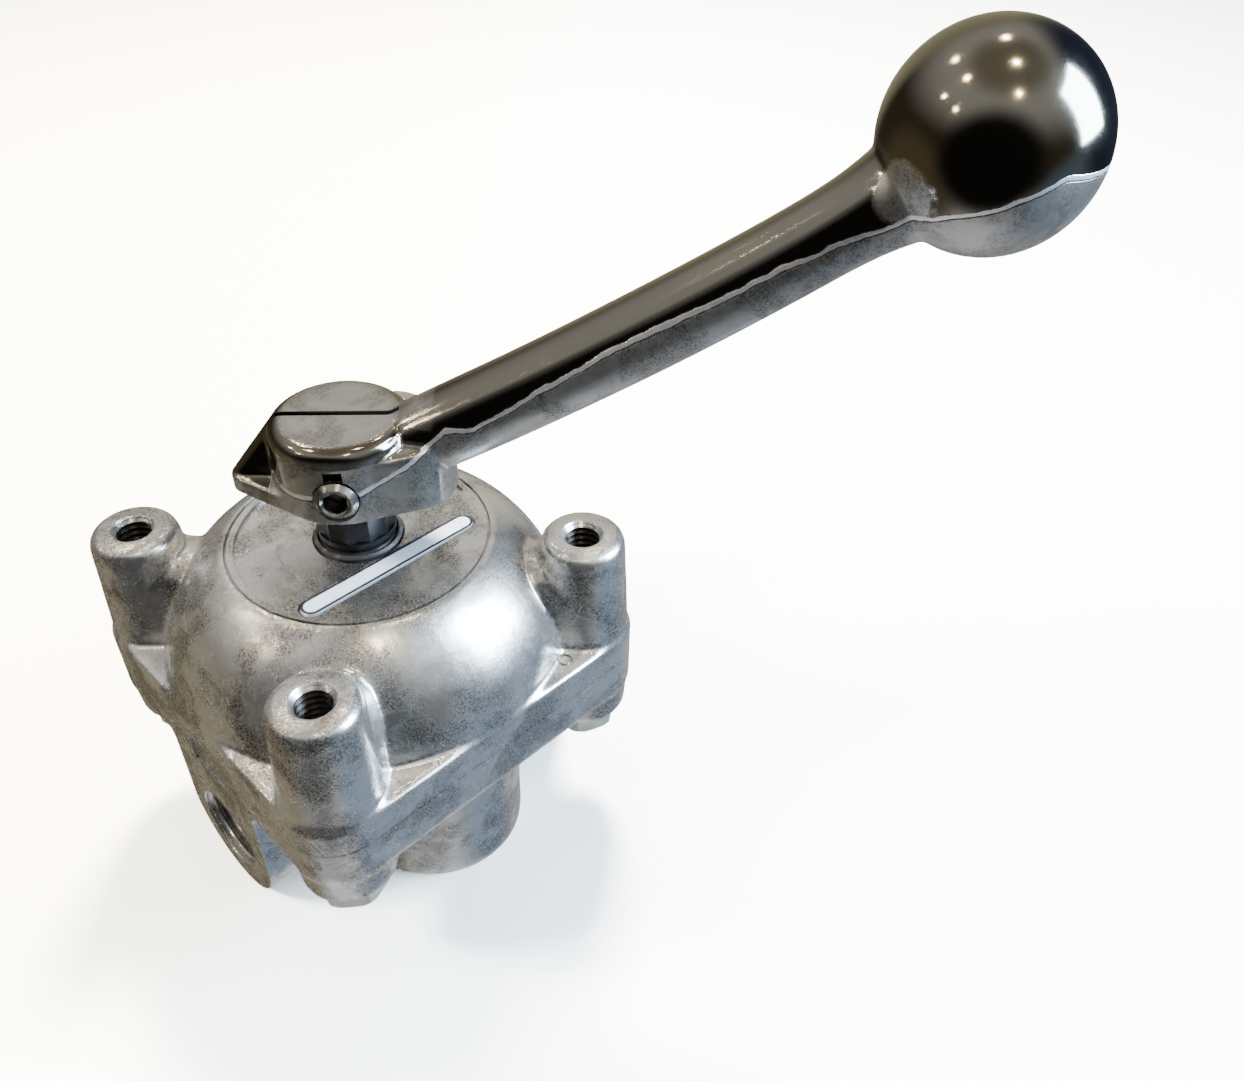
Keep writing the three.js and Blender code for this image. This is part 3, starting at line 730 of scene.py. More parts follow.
def bell_profile(s):
    """The bell-shaped cover in section: one round arc from the flange up to the plate."""
    centre_radius = 11.6
    centre_height = 45.45
    first = asin((s.flange_top - centre_height) / s.bell_arc)
    last = asin((s.plate_top - 0.35 - centre_height) / s.bell_arc)
    steps = 20
    profile = [(s.bell_radius, s.flange_top - 4)]
    for step in range(steps + 1):
        angle = first + (last - first) * step / steps
        profile.append((centre_radius + s.bell_arc * cos(angle), centre_height + s.bell_arc * sin(angle)))
    profile.append((s.plate_groove + 0.6, s.plate_top))
    return profile


def cover_rough(s):
    corner = s.body_half - s.post
    below = s.cover_bottom - 2
    edge = [(corner, below), (corner, s.flange_top - 0.9), (corner - 0.35, s.flange_top - 0.25),
            (corner - 1.0, s.flange_top)]
    flange = [turned("flange corner", edge, 48, (sx * s.post, sy * s.post)) for sx, sy in CORNERS]
    parts = [wrapped("flange", flange), turned("bell", bell_profile(s), 160)]
    for sx, sy in CORNERS:
        centre = (sx * s.post, sy * s.post)
        post = [(corner, below), (9.2, s.flange_top), (8.25, 68.2), (8.0, 69.2), (7.4, 70.0), (6.5, 70.45),
                (5.5, 70.9)]
        parts.append(turned("post", post, 64, centre))
        inward = (sx * (s.post - 9), sy * (s.post - 9))
        outer_end = [(9.25, s.flange_top - 2), (8.5, 60.0), (7.2, 63.6), (5.0, 65.6), (2.5, 66.3)]
        inner_end = [(8.8, s.flange_top - 2), (8.0, 59.0), (6.6, 62.6), (4.6, 64.6), (2.2, 65.4)]
        web = [turned("web end", outer_end, 48, centre), turned("web end", inner_end, 48, inward)]
        parts.append(wrapped("web", web))
    return fused("cover_casting", parts, s.cast_grain, 7)


def sector_cutter(name, inner, outer, first, last, low, high):
    """A flat sector of a ring, swung round the axis between two azimuths in degrees."""
    deselect()
    bpy.ops.mesh.primitive_plane_add(size=1, location=(0, 0, 0))
    obj = named(name)
    corners = [(inner, low), (inner, high), (outer, low), (outer, high)]
    points = np.array([[r * cos(radians(first)), r * sin(radians(first)), z] for r, z in corners])
    order = [0, 2, 1, 3]
    set_places(obj, points[order])
    placed(obj)
    pick(obj)
    edit_all()
    steps = max(8, int(abs(last - first) / 3))
    bpy.ops.mesh.spin(steps=steps, angle=radians(last - first), center=(0, 0, 0), axis=(0, 0, -1))
    bpy.ops.object.mode_set(mode="OBJECT")
    middle_x, middle_y, _ = places(obj).mean(axis=0)
    if middle_x * cos(radians((first + last) / 2)) + middle_y * sin(radians((first + last) / 2)) < inner / 2:
        raise RuntimeError(f"{name} was swung the wrong way")
    return outward(obj)


def stadium(name, half_length, half_width, low, high, centre):
    """A round-ended plate along X."""
    reach = half_length - half_width
    ends = [turned("end", [(half_width, low), (half_width, high)], 48, (centre[0] + side * reach, centre[1]))
            for side in (-1, 1)]
    return wrapped(name, ends)


LABEL_CENTRE = (-0.8, -11.1)
LABEL_HALF = (18.95, 2.0)
PLAIN_FIELDS = ((105, 198.6), (-8, 75))
FIELD_RADII = (15.2, 23.2)
FIELD_DEPTH = 0.7
GATE_MARK = (19.5, -36.2)


def cover_cavity(s):
    """The room for the rotor, the stem's pocket and its bore, up through the plate."""
    room = turned("rotor room", [(28, s.cover_bottom - 1), (28, 56), (24.9, 60.2)], 96)
    pocket = turned("stem pocket", [(14, 60), (14, 62.6)], 64)
    bore = turned("stem bore", [(9.6, 62), (9.6, 68.4)], 64)
    lip = turned("stem lip", [(8.4, 68), (8.4, s.plate_top - 0.3), (9.0, s.plate_top + 0.3)], 64)
    return [room, pocket, bore, lip]


def cover_details(s):
    """The tapped holes, the detent's and stop's holes, the label's recess and the marks in the plate."""
    tools = []
    for sx, sy in CORNERS:
        centre = (sx * s.post, sy * s.post)
        clearance = [(s.screw_radius + 0.3, s.cover_bottom - 1), (s.screw_radius + 0.3, s.screw_tip + 0.5)]
        tools.append(turned("screw clearance", clearance, 32, centre))
        tap = thread_cutter("post thread", s.screw_drill - 0.05, 0.6, s.screw_pitch, s.screw_tip,
                            s.post_top + 0.5, 40)
        tools.append(placed(tap, move=(*centre, 0)))
        sink = [(s.screw_drill, s.post_top - 0.75), (s.screw_drill + 1.0, s.post_top + 0.2)]
        tools.append(turned("post countersink", sink, 48, centre))
    tools.append(turned("detent bore", [(3.4, 55), (3.4, 66.3)], 40, on_circle(21, -45)))
    tools.append(turned("stop hole", [(2.8, 58), (2.8, 64.3)], 32, on_circle(19, 135)))
    tools.append(stadium("label recess", LABEL_HALF[0] + 0.5, LABEL_HALF[1] + 0.5, s.plate_top - 0.8,
                         s.plate_top + 1, LABEL_CENTRE))
    groove_inner = s.plate_groove - 0.6
    section = [(s.plate_groove - 0.25, s.plate_top - 0.55), (s.plate_groove + 0.25, s.plate_top + 0.6)]
    groove = turned("plate groove", section, 160)
    core = turned("groove core", [(groove_inner, s.plate_top - 1), (groove_inner, s.plate_top + 1)], 160)
    tools.append(cut(groove, core))
    for first, last in PLAIN_FIELDS:
        tools.append(sector_cutter("plain field", *FIELD_RADII, first, last, s.plate_top - FIELD_DEPTH,
                                   s.plate_top + 1))
    mark = turned("gate mark", [(1.55, s.flange_top - 0.3), (1.55, s.flange_top + 1)], 32, GATE_MARK)
    core = turned("gate core", [(1.0, s.flange_top - 1), (1.0, s.flange_top + 2)], 32, GATE_MARK)
    tools.append(cut(mark, core))
    return tools


def shade_post_holes(s, cover):
    """Marks the tapped holes for painted shade: they are painted black inside."""
    points = places(cover)
    to_holes = [np.hypot(points[:, 0] - sx * s.post, points[:, 1] - sy * s.post) for sx, sy in CORNERS]
    reach = np.min(to_holes, axis=0)
    depth = np.clip((s.post_top - 0.5 - points[:, 2]) / 1.2, 0, 1)
    set_mask(cover, "recess_shade", depth * (reach < s.screw_drill + 1.0))


def on_circle(radius, azimuth):
    return (radius * cos(radians(azimuth)), radius * sin(radians(azimuth)))


class VALVE_OT_cover(Operator):
    """Cast and machine the bell-shaped cover with its posts"""

    bl_idname = "valve.cover"
    bl_label = "Cover"

    def execute(self, context):
        s = millimetres(context.scene.valve_body)
        cover = cover_rough(s)
        faced(cover, 2, -1, s.cover_bottom)
        faced(cover, 2, 1, s.post_top)
        cut(cover, *cover_cavity(s))
        sleeve = turned("detent sleeve", [(5.2, 55.2), (5.2, 62)], 48, on_circle(21, -45))
        cut(cover, sleeve, operation="UNION")
        cut(cover, *cover_details(s))
        shade_post_holes(s, cover)
        softened(cover)
        finished(cover, BODY, "cast_aluminium", cast_aluminium(context.scene.valve_finishes), nodes=["cover"])
        return {"FINISHED"}


# ------------------------------------------------------------------ screws and label


class VALVE_OT_screws(Operator):
    """Make the four hexagon screws that hold the cover"""

    bl_idname = "valve.screws"
    bl_label = "Cover screws"

    def execute(self, context):
        s = millimetres(context.scene.valve_body)
        finishes = context.scene.valve_finishes
        zinc = plain_metal("zinc_steel", finishes.zinc, 0.42, 0.90, 0.12, 900.0, 0.7, 0.3)
        under = s.pad_bottom - 0.3
        low = under - 5.3
        half = s.hex_across / sqrt(3)
        head = turned("screw head", [(half, low), (half, under - 0.45)], 6)
        crown = turned("screw crown", [(half - 1.5, low), (half - 0.6, low + 0.35), (half + 0.1, low + 1.3),
                                       (half + 0.4, under - 0.4)], 64)
        cut(head, crown, operation="INTERSECT")
        washer = turned("washer face", [(6.1, under - 0.6), (6.1, under)], 64)
        cut(head, washer, operation="UNION")
        tip = s.screw_tip
        shank = turned("shank", [(s.screw_radius, under - 1), (s.screw_radius, tip - 0.8),
                                 (s.screw_radius - 0.8, tip)], 40)
        cut(head, shank, operation="UNION")
        for pitch in range(10):
            level = tip - 1.4 - pitch * s.screw_pitch
            past = s.screw_radius + 0.2
            outer = turned("thread groove", [(past, level - 0.35), (past, level + 0.35)], 40)
            core = turned("thread root", [(s.screw_radius, level - 0.36), (s.screw_radius - 0.55, level),
                                          (s.screw_radius, level + 0.36)], 40)
            cut(head, cut(outer, core))
        for number, (sx, sy) in enumerate(CORNERS, 1):
            name = f"cover_screw_{number}"
            screw = copied(head, name, turn=(0, 0, radians(17 * number)), move=(sx * s.post, sy * s.post, 0))
            softened(screw, 30)
            finished(screw, BODY, "zinc_steel", zinc, nodes=[f"cover_bolt_{number}"])
        bpy.data.meshes.remove(head.data)
        return {"FINISHED"}


class VALVE_OT_label(Operator):
    """Make the round-ended strip in the cover's plate"""

    bl_idname = "valve.label"
    bl_label = "Label strip"

    def execute(self, context):
        s = millimetres(context.scene.valve_body)
        finishes = context.scene.valve_finishes
        strip = stadium("label_strip", *LABEL_HALF, s.plate_top - 0.5, s.plate_top + 0.2, LABEL_CENTRE)
        face = label_face(finishes)
        # Painted shade: a near-black band round the label's face stands for the shade at the edge of its
        # recess.
        edge_shade = plain_metal("label_edge_shade", (0.012, 0.012, 0.014), 0.45, 0.2)
        pick(strip)
        strip.data.materials.append(face)
        strip.data.materials.append(edge_shade)
        edit_all()
        bpy.ops.mesh.select_all(action="DESELECT")
        bpy.ops.object.mode_set(mode="OBJECT")
        for polygon in strip.data.polygons:
            polygon.select = polygon.normal.z > 0.9
        bpy.ops.object.mode_set(mode="EDIT")
        bpy.ops.mesh.inset(thickness=0.14 * MM)
        bpy.ops.transform.translate(value=(0, 0, 0.06 * MM))
        bpy.ops.mesh.inset(thickness=0.36 * MM)
        bpy.ops.object.mode_set(mode="OBJECT")
        # The two inset rings take the painted shade's material.
        for polygon in strip.data.polygons:
            polygon.material_index = 0 if polygon.select or polygon.normal.z < 0.9 else 1
        softened(strip, 30)
        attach(strip, BODY)
        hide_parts("nameplate")
        return {"FINISHED"}


# ------------------------------------------------------------------ stem


class VALVE_OT_stem(Operator):
    """Make the black stem with its square drive, flange and toothed top"""

    bl_idname = "valve.stem"
    bl_label = "Stem and wiper"

    def execute(self, context):
        s = millimetres(context.scene.valve_lever)
        finishes = context.scene.valve_finishes
        plate = context.scene.valve_body.plate_top / MM
        black = plain_metal("black_steel", finishes.black, 0.34, 0.8, 0.3, 600.0, 0.4, 0.25)
        shaft = [(13, 55.4), (13, 58.4), (12.6, 58.5), (s.stem, 58.6), (s.stem, 70.6),
                 (s.stem - 0.35, 70.9), (s.stem - 0.35, 71.6), (s.stem, 71.9), (s.stem, 73)]
        stem = turned("stem_shaft", shaft, 96)
        drive = placed(block("drive", (-6, -6, 49.5), (6, 6, 56)), turn=(0, 0, radians(-45)))
        cut(stem, drive, operation="UNION")
        teeth = turned("toothed top", [(s.stem, 72.4), (s.stem, 72.8), (s.stem, s.stem_top - 0.6),
                                       (s.stem - 0.6, s.stem_top)], 24)
        points = places(teeth)
        turn = np.degrees(np.arctan2(points[:, 1], points[:, 0]))
        valley = (np.round(turn / 15).astype(int) % 2 == 0) & (points[:, 2] > 72.6)
        points[valley, :2] *= 0.92
        set_places(teeth, points)
        cut(stem, teeth, operation="UNION")
        softened(stem, 30)
        finished(stem, LEVER_BODY, "black_steel", black, nodes=["stem"])
        wiper_inner = s.stem + 0.3
        lip = [(8.1, 68.8), (8.1, plate + 0.2), (8.35, plate + 0.35), (8.3, plate + 0.6),
               (wiper_inner + 0.3, plate + 0.95)]
        wiper = turned("wiper_ring", lip, 96)
        cut(wiper, turned("wiper bore", [(wiper_inner, 68), (wiper_inner, plate + 2)], 96))
        softened(wiper, 40)
        finished(wiper, BODY, "black_rubber", black_rubber(), nodes=["stem_wiper"])
        return {"FINISHED"}


# ------------------------------------------------------------------ lever, made along +X


def arm_route(s):
    """Stations along the arm's middle: (along, height, radius), from inside the hub into the knob."""
    return [(4, 87.4, s.arm - 0.75), (9, 89.8, s.arm - 0.35), (17.9, 94.1, s.arm), (36, 103.4, s.arm),
            (55.7, 114.4, s.arm), (73, 124.8, s.arm - 0.15), (84, 132, s.arm - 0.2), (90, 136, s.arm + 0.6),
            (95, 139.3, s.arm + 2.2), (99, 142, s.arm + 4.5)]


PARTING_LINE = [(-22, 85.5), (3, 87.5), (12, 91.5), (19, 97), (24, 98), (48, 113), (80, 130.5), (92, 136),
                (110, 145), (123, 143.5)]


NECK_PATCH = (-150, -17)
NECK_PATCH_RADIUS = 4.4


def arm_tube(s):
    """The arm, swept along its route with its own radius at each station."""
    deselect()
    bpy.ops.curve.primitive_nurbs_path_add(location=(0, 0, 0))
    obj = named("arm")
    curve = obj.data
    curve.splines.clear()
    route = arm_route(s)
    spline = curve.splines.new("NURBS")
    spline.points.add(len(route) - 1)
    for point, (along, height, radius) in zip(spline.points, route):
        point.co = (along * MM, 0, height * MM, 1)
        point.radius = radius
    spline.order_u = 3
    spline.resolution_u = 12
    spline.use_endpoint_u = True
    curve.bevel_depth = MM
    curve.bevel_resolution = 14
    curve.use_fill_caps = True
    pick(obj)
    bpy.ops.object.convert(target="MESH")
    return outward(bpy.context.object)


def hub_rough(s):
    """The round hub with its rolled rim, the pointer, the shoulder under the arm and the ridge."""
    rim = [(s.hub, s.hub_bottom - 1), (s.hub, s.hub_top - s.hub_rim)]
    for step in range(1, 9):
        angle = step / 8 * pi / 2
        rim.append((s.hub - s.hub_rim * (1 - cos(angle)), s.hub_top - s.hub_rim * (1 - sin(angle))))
    parts = [turned("hub", rim, 128)]
    foot_top = s.hub_bottom + 3
    parts.append(wrapped("pointer foot", [
        turned("foot", [(s.hub, s.hub_bottom - 1), (s.hub, foot_top)], 96),
        turned("tip", [(s.pointer_tip, s.hub_bottom - 1), (s.pointer_tip, foot_top)], 48,
               (-s.pointer_reach, 0))]))
    corner = 2.0
    ends = [turned("shoulder corner", [(corner, s.hub_bottom - 1), (corner, s.hub_top - s.hub_rim)], 32,
                   (17.9 - corner, side * (7.4 - corner))) for side in (-1, 1)]
    low, high = s.hub_bottom - 1, s.hub_top - s.hub_rim - 1
    bulge = turned("shoulder bulge", [(9.4, low), (9.4, high)], 64, (10.4, 0))
    middle = turned("shoulder root", [(s.hub - 0.3, low), (s.hub - 0.3, high)], 64)
    parts.append(wrapped("shoulder", [middle, bulge, *ends]))
    crest = turned("ridge crest", [(2.6, s.hub_bottom + 1), (2.6, s.hub_top - 0.6)], 32, (-s.hub + 3.4, 0))
    toe = turned("ridge toe", [(2.1, s.hub_bottom + 1), (2.1, foot_top + 0.8)], 32,
                 (-s.pointer_reach - 0.6, 0))
    parts.append(wrapped("ridge", [crest, toe]))
    return parts


def knob_ball(s):
    deselect()
    bpy.ops.mesh.primitive_uv_sphere_add(segments=128, ring_count=64, radius=s.knob * MM,
                                         location=(s.knob_reach * MM, 0, s.knob_height * MM))
    obj = named("knob")
    bpy.ops.object.transform_apply(location=True, rotation=True, scale=True)
    return obj


def trued_knob(s, obj):
    """Draws the knob's skin onto the exact ball, easing off towards the neck."""
    points = places(obj)
    centre = np.array([s.knob_reach, 0, s.knob_height])
    offset = points - centre
    distance = np.linalg.norm(offset, axis=1)
    neck = np.array([84 - s.knob_reach, 0, 132 - s.knob_height])
    neck /= np.linalg.norm(neck)
    away = np.degrees(np.arccos(np.clip(offset @ neck / np.maximum(distance, 1e-6), -1, 1)))
    pull = np.clip((away - 48) / 16, 0, 1) * np.clip((1.3 - np.abs(distance - s.knob)) / 0.8, 0, 1)
    scale = 1 + pull * (s.knob / np.maximum(distance, 1e-6) - 1)
    set_places(obj, centre + offset * scale[:, None])


def lever_masks(s, obj):
    """Marks how far each point lies above the parting line, and where the casting was polished."""
    points = places(obj)
    x, y, z = points.T
    line_x, line_z = np.array(PARTING_LINE).T
    level = np.interp(x, line_x, line_z)
    slope = np.interp(x, [10, 16, 84, 92, 100, 112], [0.3, 0.53, 0.57, 0.45, 0.4, 0.0])
    above = (z - level) / np.sqrt(1 + slope ** 2)
    on_knob = np.clip((x - 90) / 6, 0, 1)
    on_arm = np.clip((x - 13) / 4, 0, 1)
    radius = np.hypot(x, y)
    rim = np.clip(1.35 - np.abs(z - (s.hub_top - 1.0)) / 2.6, 0, 1) ** 0.5
    top = np.clip((z - (s.hub_top - 0.12)) / 0.1, 0, 1) * (radius < s.hub - 2.0)
    near_rim = np.clip((radius - (s.hub - 4.2)) / 2.0, 0, 1)
    hub_polish = np.where(z > s.hub_top - 3.4, rim * (0.35 + 0.65 * near_rim), 0.15)
    hub_polish = np.where(top > 0.5, 0.45 * near_rim, hub_polish)
    pointer = np.clip((-x - 8.5) / 1.5, 0, 1) * np.clip((z - s.hub_bottom - 2.4) / 0.8, 0, 1)
    hub_polish = np.maximum(hub_polish, pointer * np.clip((s.hub_top - 0.2 - z) / 0.2, 0, 1))
    polish = on_arm + (1 - on_arm) * hub_polish
    patch = np.array([s.knob_reach, 0, s.knob_height]) + s.knob * np.array(heading(*NECK_PATCH))
    from_patch = np.linalg.norm(points - patch, axis=1)
    polish *= np.clip((from_patch - NECK_PATCH_RADIUS) / 0.6, 0, 1)
    above = above - on_knob * 0.9
    # The groove and the notch are marked for painted shade.
    in_groove = (np.abs(y) < 0.9) & (np.abs(x) < 12) & (z < s.hub_top - 0.2) & (z > s.hub_top - 1.3)
    in_notch = (np.abs(x) < 1.9) & (y < -11) & (y > -12.4) & (z > s.set_screw_height) & (z < 93.6)
    set_mask(obj, "recess_shade", np.where(in_groove | in_notch, 1.0, 0.0))
    set_mask(obj, "above_parting", np.where(x < -13, 3.0, above))
    set_mask(obj, "polish", polish)


class VALVE_OT_lever(Operator):
    """Cast the lever: hub, pointer, arm and ball knob in one piece"""

    bl_idname = "valve.lever"
    bl_label = "Lever"

    def execute(self, context):
        s = millimetres(context.scene.valve_lever)
        parts = hub_rough(s) + [arm_tube(s), knob_ball(s)]
        lever = fused("lever_casting", parts, s.lever_grain, 6)
        trued_knob(s, lever)
        faced(lever, 2, -1, s.hub_bottom)
        bore = s.stem + 0.3
        stem_bore = turned("stem bore", [(bore, s.hub_bottom - 1), (bore, s.stem_top + 0.3)], 64)
        lead_in = [(s.stem + 1.0, s.hub_bottom - 0.2), (s.stem + 0.2, s.hub_bottom + 0.7)]
        lead = turned("bore lead", lead_in, 64)
        hole = placed(turned("screw hole", [(s.set_screw + 0.15, 4), (s.set_screw + 0.15, 16)], 48),
                      turn=(pi / 2, 0, 0), move=(0, 0, s.set_screw_height))
        sink = placed(turned("hole sink", [(s.set_screw, 12.0), (s.set_screw + 0.75, 13.0)], 48),
                      turn=(pi / 2, 0, 0), move=(0, 0, s.set_screw_height))
        notch = block("notch", (-1.7, -16, s.set_screw_height), (1.7, -11.4, 93.5))
        groove = block("groove", (-11.2, -0.65, s.hub_top - 1.1), (11.6, 0.65, s.hub_top + 1))
        cut(lever, stem_bore, lead, hole, sink, notch, groove)
        lever_masks(s, lever)
        placed(lever, turn=(0, 0, s.azimuth))
        softened(lever, 40)
        finished(lever, LEVER_BODY, "lever_metal", lever_metal(context.scene.valve_finishes), nodes=["lever"])
        return {"FINISHED"}


class VALVE_OT_set_screw(Operator):
    """Make the socket set screw that clamps the lever"""

    bl_idname = "valve.set_screw"
    bl_label = "Set screw"

    def execute(self, context):
        s = millimetres(context.scene.valve_lever)
        outer = 13.4
        radius = s.set_screw
        screw = turned("set_screw", [(radius - 1.4, 7.7), (radius - 0.2, 8.6), (radius - 0.1, outer - 0.9),
                                     (radius - 0.9, outer)], 64)
        recess = turned("socket lead", [(2.3, outer - 0.35), (2.75, outer + 0.1)], 48)
        socket = turned("socket", [(4 / sqrt(3), 9.8), (4 / sqrt(3), outer + 1)], 6)
        cut(screw, recess, socket)
        for turn in range(3):
            level = 9.4 + turn * 1.2
            ring = turned("thread groove", [(radius + 0.3, level - 0.3), (radius + 0.3, level + 0.3)], 48)
            root = [(radius, level - 0.31), (radius - 0.6, level), (radius, level + 0.31)]
            core = turned("thread root", root, 48)
            cut(screw, cut(ring, core))
        placed(screw, turn=(pi / 2, 0, 0), move=(0, 0, s.set_screw_height))
        placed(screw, turn=(0, 0, s.azimuth))
        softened(screw, 30)
        black = plain_metal("set_screw_steel", (0.34, 0.33, 0.32), 0.24, 1.0, 0.15, 700.0, 1.0, 0.2)
        finished(screw, LEVER_BODY, "black_steel", black, nodes=["lever_set_screw"])
        return {"FINISHED"}


# ------------------------------------------------------------------ pieces inside


INNER_FINISHES = {
    "lapped_steel": ["rotor", "detent_ball", "pressure_seal_1", "pressure_seal_2", "pressure_seal_3",
                     "pressure_seal_4"],
    "plain_steel": ["rotor_plug_1", "rotor_plug_2", "rotor_pivot_pin", "stop_pin", "detent_spring",
                    "thrust_race_lower", "thrust_race_upper", "seal_spring_1", "seal_spring_2",
                    "seal_spring_3", "seal_spring_4"],
    "bronze": ["thrust_bearing_cage", "stem_bushing"],
    "black_rubber": ["cover_seal_ring", "stem_seal_ring", "seal_ring_1", "seal_ring_2", "seal_ring_3",
                     "seal_ring_4"],
}


class VALVE_OT_inner_finishes(Operator):
    """Give the pieces inside the valve their finishes"""

    bl_idname = "valve.inner_finishes"
    bl_label = "Inner finishes"

    def execute(self, context):
        lapped = plain_metal("lapped_steel", (0.68, 0.69, 0.71), 0.14, 1.0, 0.04, 1200.0, 0.2, 0.05)
        steel = plain_metal("plain_steel", (0.5, 0.51, 0.53), 0.3, 1.0, 0.08, 800.0, 0.4, 0.15)
        bronze = plain_metal("bronze", (0.62, 0.42, 0.2), 0.34, 1.0, 0.1, 700.0, 0.4, 0.15)
        materials = {"lapped_steel": lapped, "plain_steel": steel, "bronze": bronze,
                     "black_rubber": black_rubber()}
        for finish, nodes in INNER_FINISHES.items():
            for node in nodes:
                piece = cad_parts[node]
                for slot in piece.material_slots:
                    slot.material = materials[finish]
        return {"FINISHED"}


# ------------------------------------------------------------------ floor, lights and camera


def floor_material(rgb):
    """Pale paint, with painted warm light making it creamier towards one side."""
    material, g, shader, place = new_material("floor_paint")
    # Painted warm light: the floor turns cream towards the side where the warm light comes from.
    across = g.add("ShaderNodeVectorMath", {0: place, 1: (0.687, -0.727, 0.0)}, operation="DOT_PRODUCT")
    warm_light_cream = (rgb[0], rgb[1] * 0.965, rgb[2] * 0.80, 1.0)
    out_of_warm_light = g.spread(across.outputs["Value"], -0.13, 0.03)
    g.feed(shader.inputs["Base Color"], g.blend(out_of_warm_light, warm_light_cream, four(rgb)))
    shader.inputs["Roughness"].default_value = 0.6
    return material


BACKDROP_RADIUS = 2.9  # in metres, like the floor's size
FLOOR_SIZE = 6


def backdrop_paper():
    """Evenly lit pale paper behind and above the floor."""
    material, _, shader, _ = new_material("backdrop_paper")
    shader.inputs["Base Color"].default_value = (0.0, 0.0, 0.0, 1.0)
    shader.inputs["Roughness"].default_value = 1.0
    shader.inputs["Specular IOR Level"].default_value = 0.0
    shader.inputs["Emission Color"].default_value = (1.0, 0.985, 0.965, 1.0)
    shader.inputs["Emission Strength"].default_value = 1.6
    return material


# The room's colours. A band begins and is full at the given heights of the direction, from -1 to 1.
EYE_LEVEL = (0.070, 0.056, 0.036)
ROOM_BANDS = ((0.1, 0.75, (0.60, 0.59, 0.57)), (0.78, 0.95, (0.30, 0.275, 0.21)),
              (-0.3, -0.6, (0.36, 0.36, 0.35)), (-0.72, -0.93, (0.80, 0.81, 0.84)))
# An area on the wall: azimuth, elevation, the cosines where it begins and is full, and its colour.
ROOM_WALLS = ((45, 10, 0.80, 0.96, (0.46, 0.42, 0.29)), (-60, -35, 0.72, 0.92, (0.17, 0.235, 0.33)),
              (130, -35, 0.70, 0.92, (0.16, 0.132, 0.075)), (-150, -5, 0.50, 0.80, (0.012, 0.011, 0.011)),
              (-20, 12, 0.66, 0.90, (0.030, 0.040, 0.080)))
# A key light: name, azimuth, elevation and power. Distances and places are in millimetres.
KEY_LIGHTS = (("left key", 148, 46, 38), ("back key", 38, 56, 84))
KEY_DISTANCE = 900
WINDOW_PLACE, WINDOW_AIM = (398, -437, 372), (40, -40, 100)
LAMP_ROWS = {-1: (0, 2), 0: (0, 1, 2), 1: (0, 1)}
FIRST_LAMP = (130, -130, 1090)
LAMP_ROW_GAP, LAMP_GAP = 550, 700
LAMP_AIM = (30, -30, 90)
COOL, WARM = (0.62, 0.80, 1.0), (1.0, 0.955, 0.87)
DAYLIGHT, LAMPLIGHT = (0.66, 0.83, 1.0), (1.0, 0.82, 0.55)


def area_light(name, place, aim, size, power, rgb, shape="RECTANGLE", spread=180):
    """A studio panel: place, aim and size in millimetres, power in watts."""
    light = bpy.data.lights.new(name, "AREA")
    light.shape = shape
    light.size, light.size_y = size[0] * MM, size[1] * MM
    light.energy = power
    light.color = rgb
    light.spread = radians(spread)
    obj = bpy.data.objects.new(name, light)
    bpy.context.collection.objects.link(obj)
    obj.location = Vector(place) * MM
    obj.rotation_mode = "QUATERNION"
    obj.rotation_quaternion = (Vector(aim) * MM - obj.location).to_track_quat("-Z", "Y")
    return obj


def world_light():
    """A dim room to mirror: brown at eye level, pale above and below, with soft areas on its walls."""
    world = bpy.data.worlds.new("studio")
    bpy.context.scene.world = world
    world.use_nodes = True
    g = Graph(world.node_tree)
    world.node_tree.nodes.clear()
    direction = g.add("ShaderNodeTexCoord").outputs["Generated"]
    up = g.add("ShaderNodeSeparateXYZ", {0: direction}).outputs[2]
    tone = four(EYE_LEVEL)
    for start, full, rgb in ROOM_BANDS:
        tone = g.blend(g.spread(up, start, full), tone, four(rgb))
    for azimuth, elevation, start, full, rgb in ROOM_WALLS:
        toward = g.add("ShaderNodeVectorMath", {0: direction, 1: heading(azimuth, elevation)},
                       operation="DOT_PRODUCT")
        tone = g.blend(g.spread(toward.outputs["Value"], start, full), tone, four(rgb))
    background = g.add("ShaderNodeBackground", {"Color": tone, "Strength": 1.0})
    output = g.add("ShaderNodeOutputWorld")
    world.node_tree.links.new(background.outputs[0], output.inputs["Surface"])


CAMERA_TURN = (-46.585, 40.302, 1.73)  # azimuth, elevation and roll
CAMERA_PLACE = (-82.05, -146.72, 206.16)


def camera(lens):
    data = bpy.data.cameras.new("camera")
    data.lens = lens
    data.sensor_width = 36
    data.clip_start, data.clip_end = 0.005, 20
    obj = bpy.data.objects.new("camera", data)
    bpy.context.collection.objects.link(obj)
    azimuth, elevation, roll = (radians(angle) for angle in CAMERA_TURN)
    back = Vector((sin(azimuth) * cos(elevation), -cos(azimuth) * cos(elevation), sin(elevation)))
    right = (-back).cross(Vector((0, 0, 1))).normalized()
    up = right.cross(-back)
    across = right * cos(roll) + up * sin(roll)
    upward = up * cos(roll) - right * sin(roll)
    turn = Matrix((across, upward, back)).transposed().to_4x4()
    obj.matrix_world = Matrix.Translation(Vector(CAMERA_PLACE) * MM) @ turn
    bpy.context.scene.camera = obj


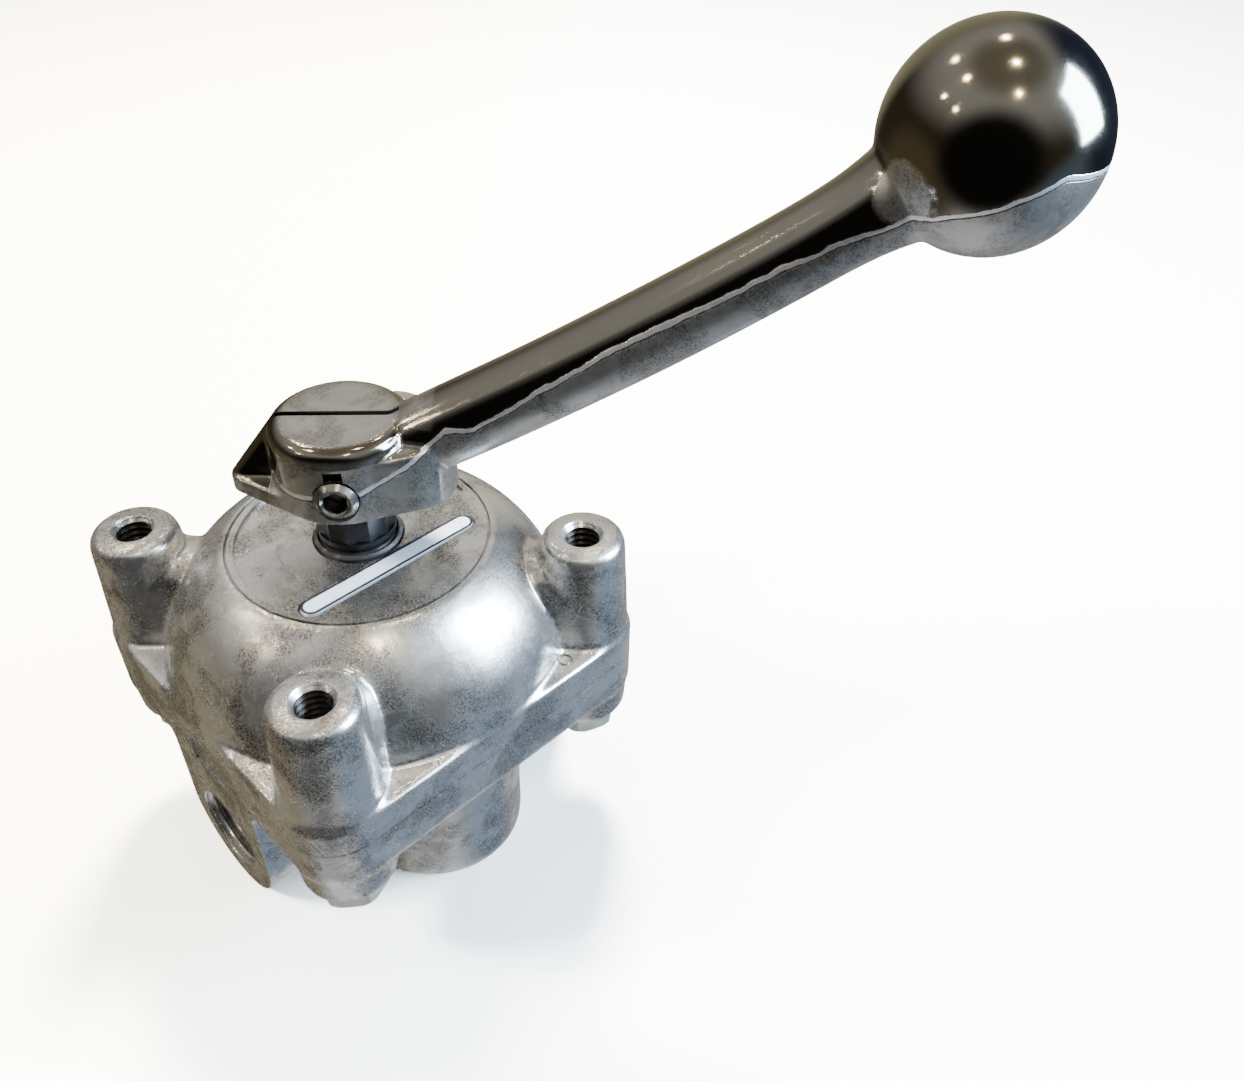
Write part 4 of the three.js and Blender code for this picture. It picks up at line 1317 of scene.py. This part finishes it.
class VALVE_OT_stage(Operator):
    """Set up the floor, the lights and the camera"""

    bl_idname = "valve.stage"
    bl_label = "Stage"

    def execute(self, context):
        stage = context.scene.valve_stage
        deselect()
        bpy.ops.mesh.primitive_plane_add(size=FLOOR_SIZE, location=(0, 0, 0))
        floor = named("floor")
        floor.data.materials.append(floor_material(stage.floor))
        bpy.ops.mesh.primitive_uv_sphere_add(segments=64, ring_count=32, radius=BACKDROP_RADIUS,
                                             location=(0, 0, 0))
        backdrop = named("backdrop")
        backdrop.data.materials.append(backdrop_paper())
        backdrop.visible_diffuse = False
        backdrop.visible_shadow = False
        backdrop.visible_transmission = False
        for piece in (floor, backdrop):
            piece.visible_glossy = False
        world_light()
        origin = (0, 0, 0)
        panels = [area_light("ceiling panel", (-60, 120, 950), origin, (1000, 1000), 16, COOL)]
        for name, azimuth, elevation, power in KEY_LIGHTS:
            place = Vector(heading(azimuth, elevation)) * KEY_DISTANCE
            panels.append(area_light(name, place, origin, (170, 170), power, WARM))
        for panel in panels:
            panel.visible_glossy = False
        area_light("window", WINDOW_PLACE, WINDOW_AIM, (300, 420), 24, DAYLIGHT)
        for row, seats in LAMP_ROWS.items():
            for seat in seats:
                place = Vector(FIRST_LAMP) + Vector(heading(45, 0)) * LAMP_ROW_GAP * row
                place += Vector(heading(135, 0)) * LAMP_GAP * seat
                area_light(f"room lamp {row} {seat}", place, LAMP_AIM, (55, 55), 1.4, LAMPLIGHT, "DISK")
        camera(stage.lens)
        return {"FINISHED"}


# ------------------------------------------------------------------ panel and registration


class VALVE_PT_panel(Panel):
    """Lists the valve's operators and sizes in the sidebar"""

    bl_idname = "VALVE_PT_panel"
    bl_label = "Rotary lever valve"
    bl_space_type = "VIEW_3D"
    bl_region_type = "UI"
    bl_category = "Valve"

    def draw(self, context):
        layout = self.layout
        for operator in OPERATORS:
            layout.operator(operator.bl_idname)
        for group in ("valve_body", "valve_lever", "valve_finishes", "valve_stage"):
            settings = getattr(context.scene, group)
            box = layout.box()
            for name in settings.__annotations__:
                box.prop(settings, name)


OPERATORS = (VALVE_OT_base, VALVE_OT_cover, VALVE_OT_screws, VALVE_OT_label, VALVE_OT_stem, VALVE_OT_lever,
             VALVE_OT_set_screw, VALVE_OT_inner_finishes, VALVE_OT_stage)
GROUPS = {"valve_body": ValveBodySizes, "valve_lever": ValveLeverSizes, "valve_finishes": ValveFinishes,
          "valve_stage": ValveStage}


def register():
    for item in (*GROUPS.values(), *OPERATORS, VALVE_PT_panel):
        bpy.utils.register_class(item)
    for name, group in GROUPS.items():
        setattr(bpy.types.Scene, name, PointerProperty(type=group))


def unregister():
    for name in GROUPS:
        delattr(bpy.types.Scene, name)
    for item in reversed((*GROUPS.values(), *OPERATORS, VALVE_PT_panel)):
        bpy.utils.unregister_class(item)


def main():
    register()
    bpy.ops.valve.base()
    bpy.ops.valve.cover()
    bpy.ops.valve.screws()
    bpy.ops.valve.label()
    bpy.ops.valve.stem()
    bpy.ops.valve.lever()
    bpy.ops.valve.set_screw()
    bpy.ops.valve.inner_finishes()
    bpy.ops.valve.stage()


if __name__ == "__main__":
    main()
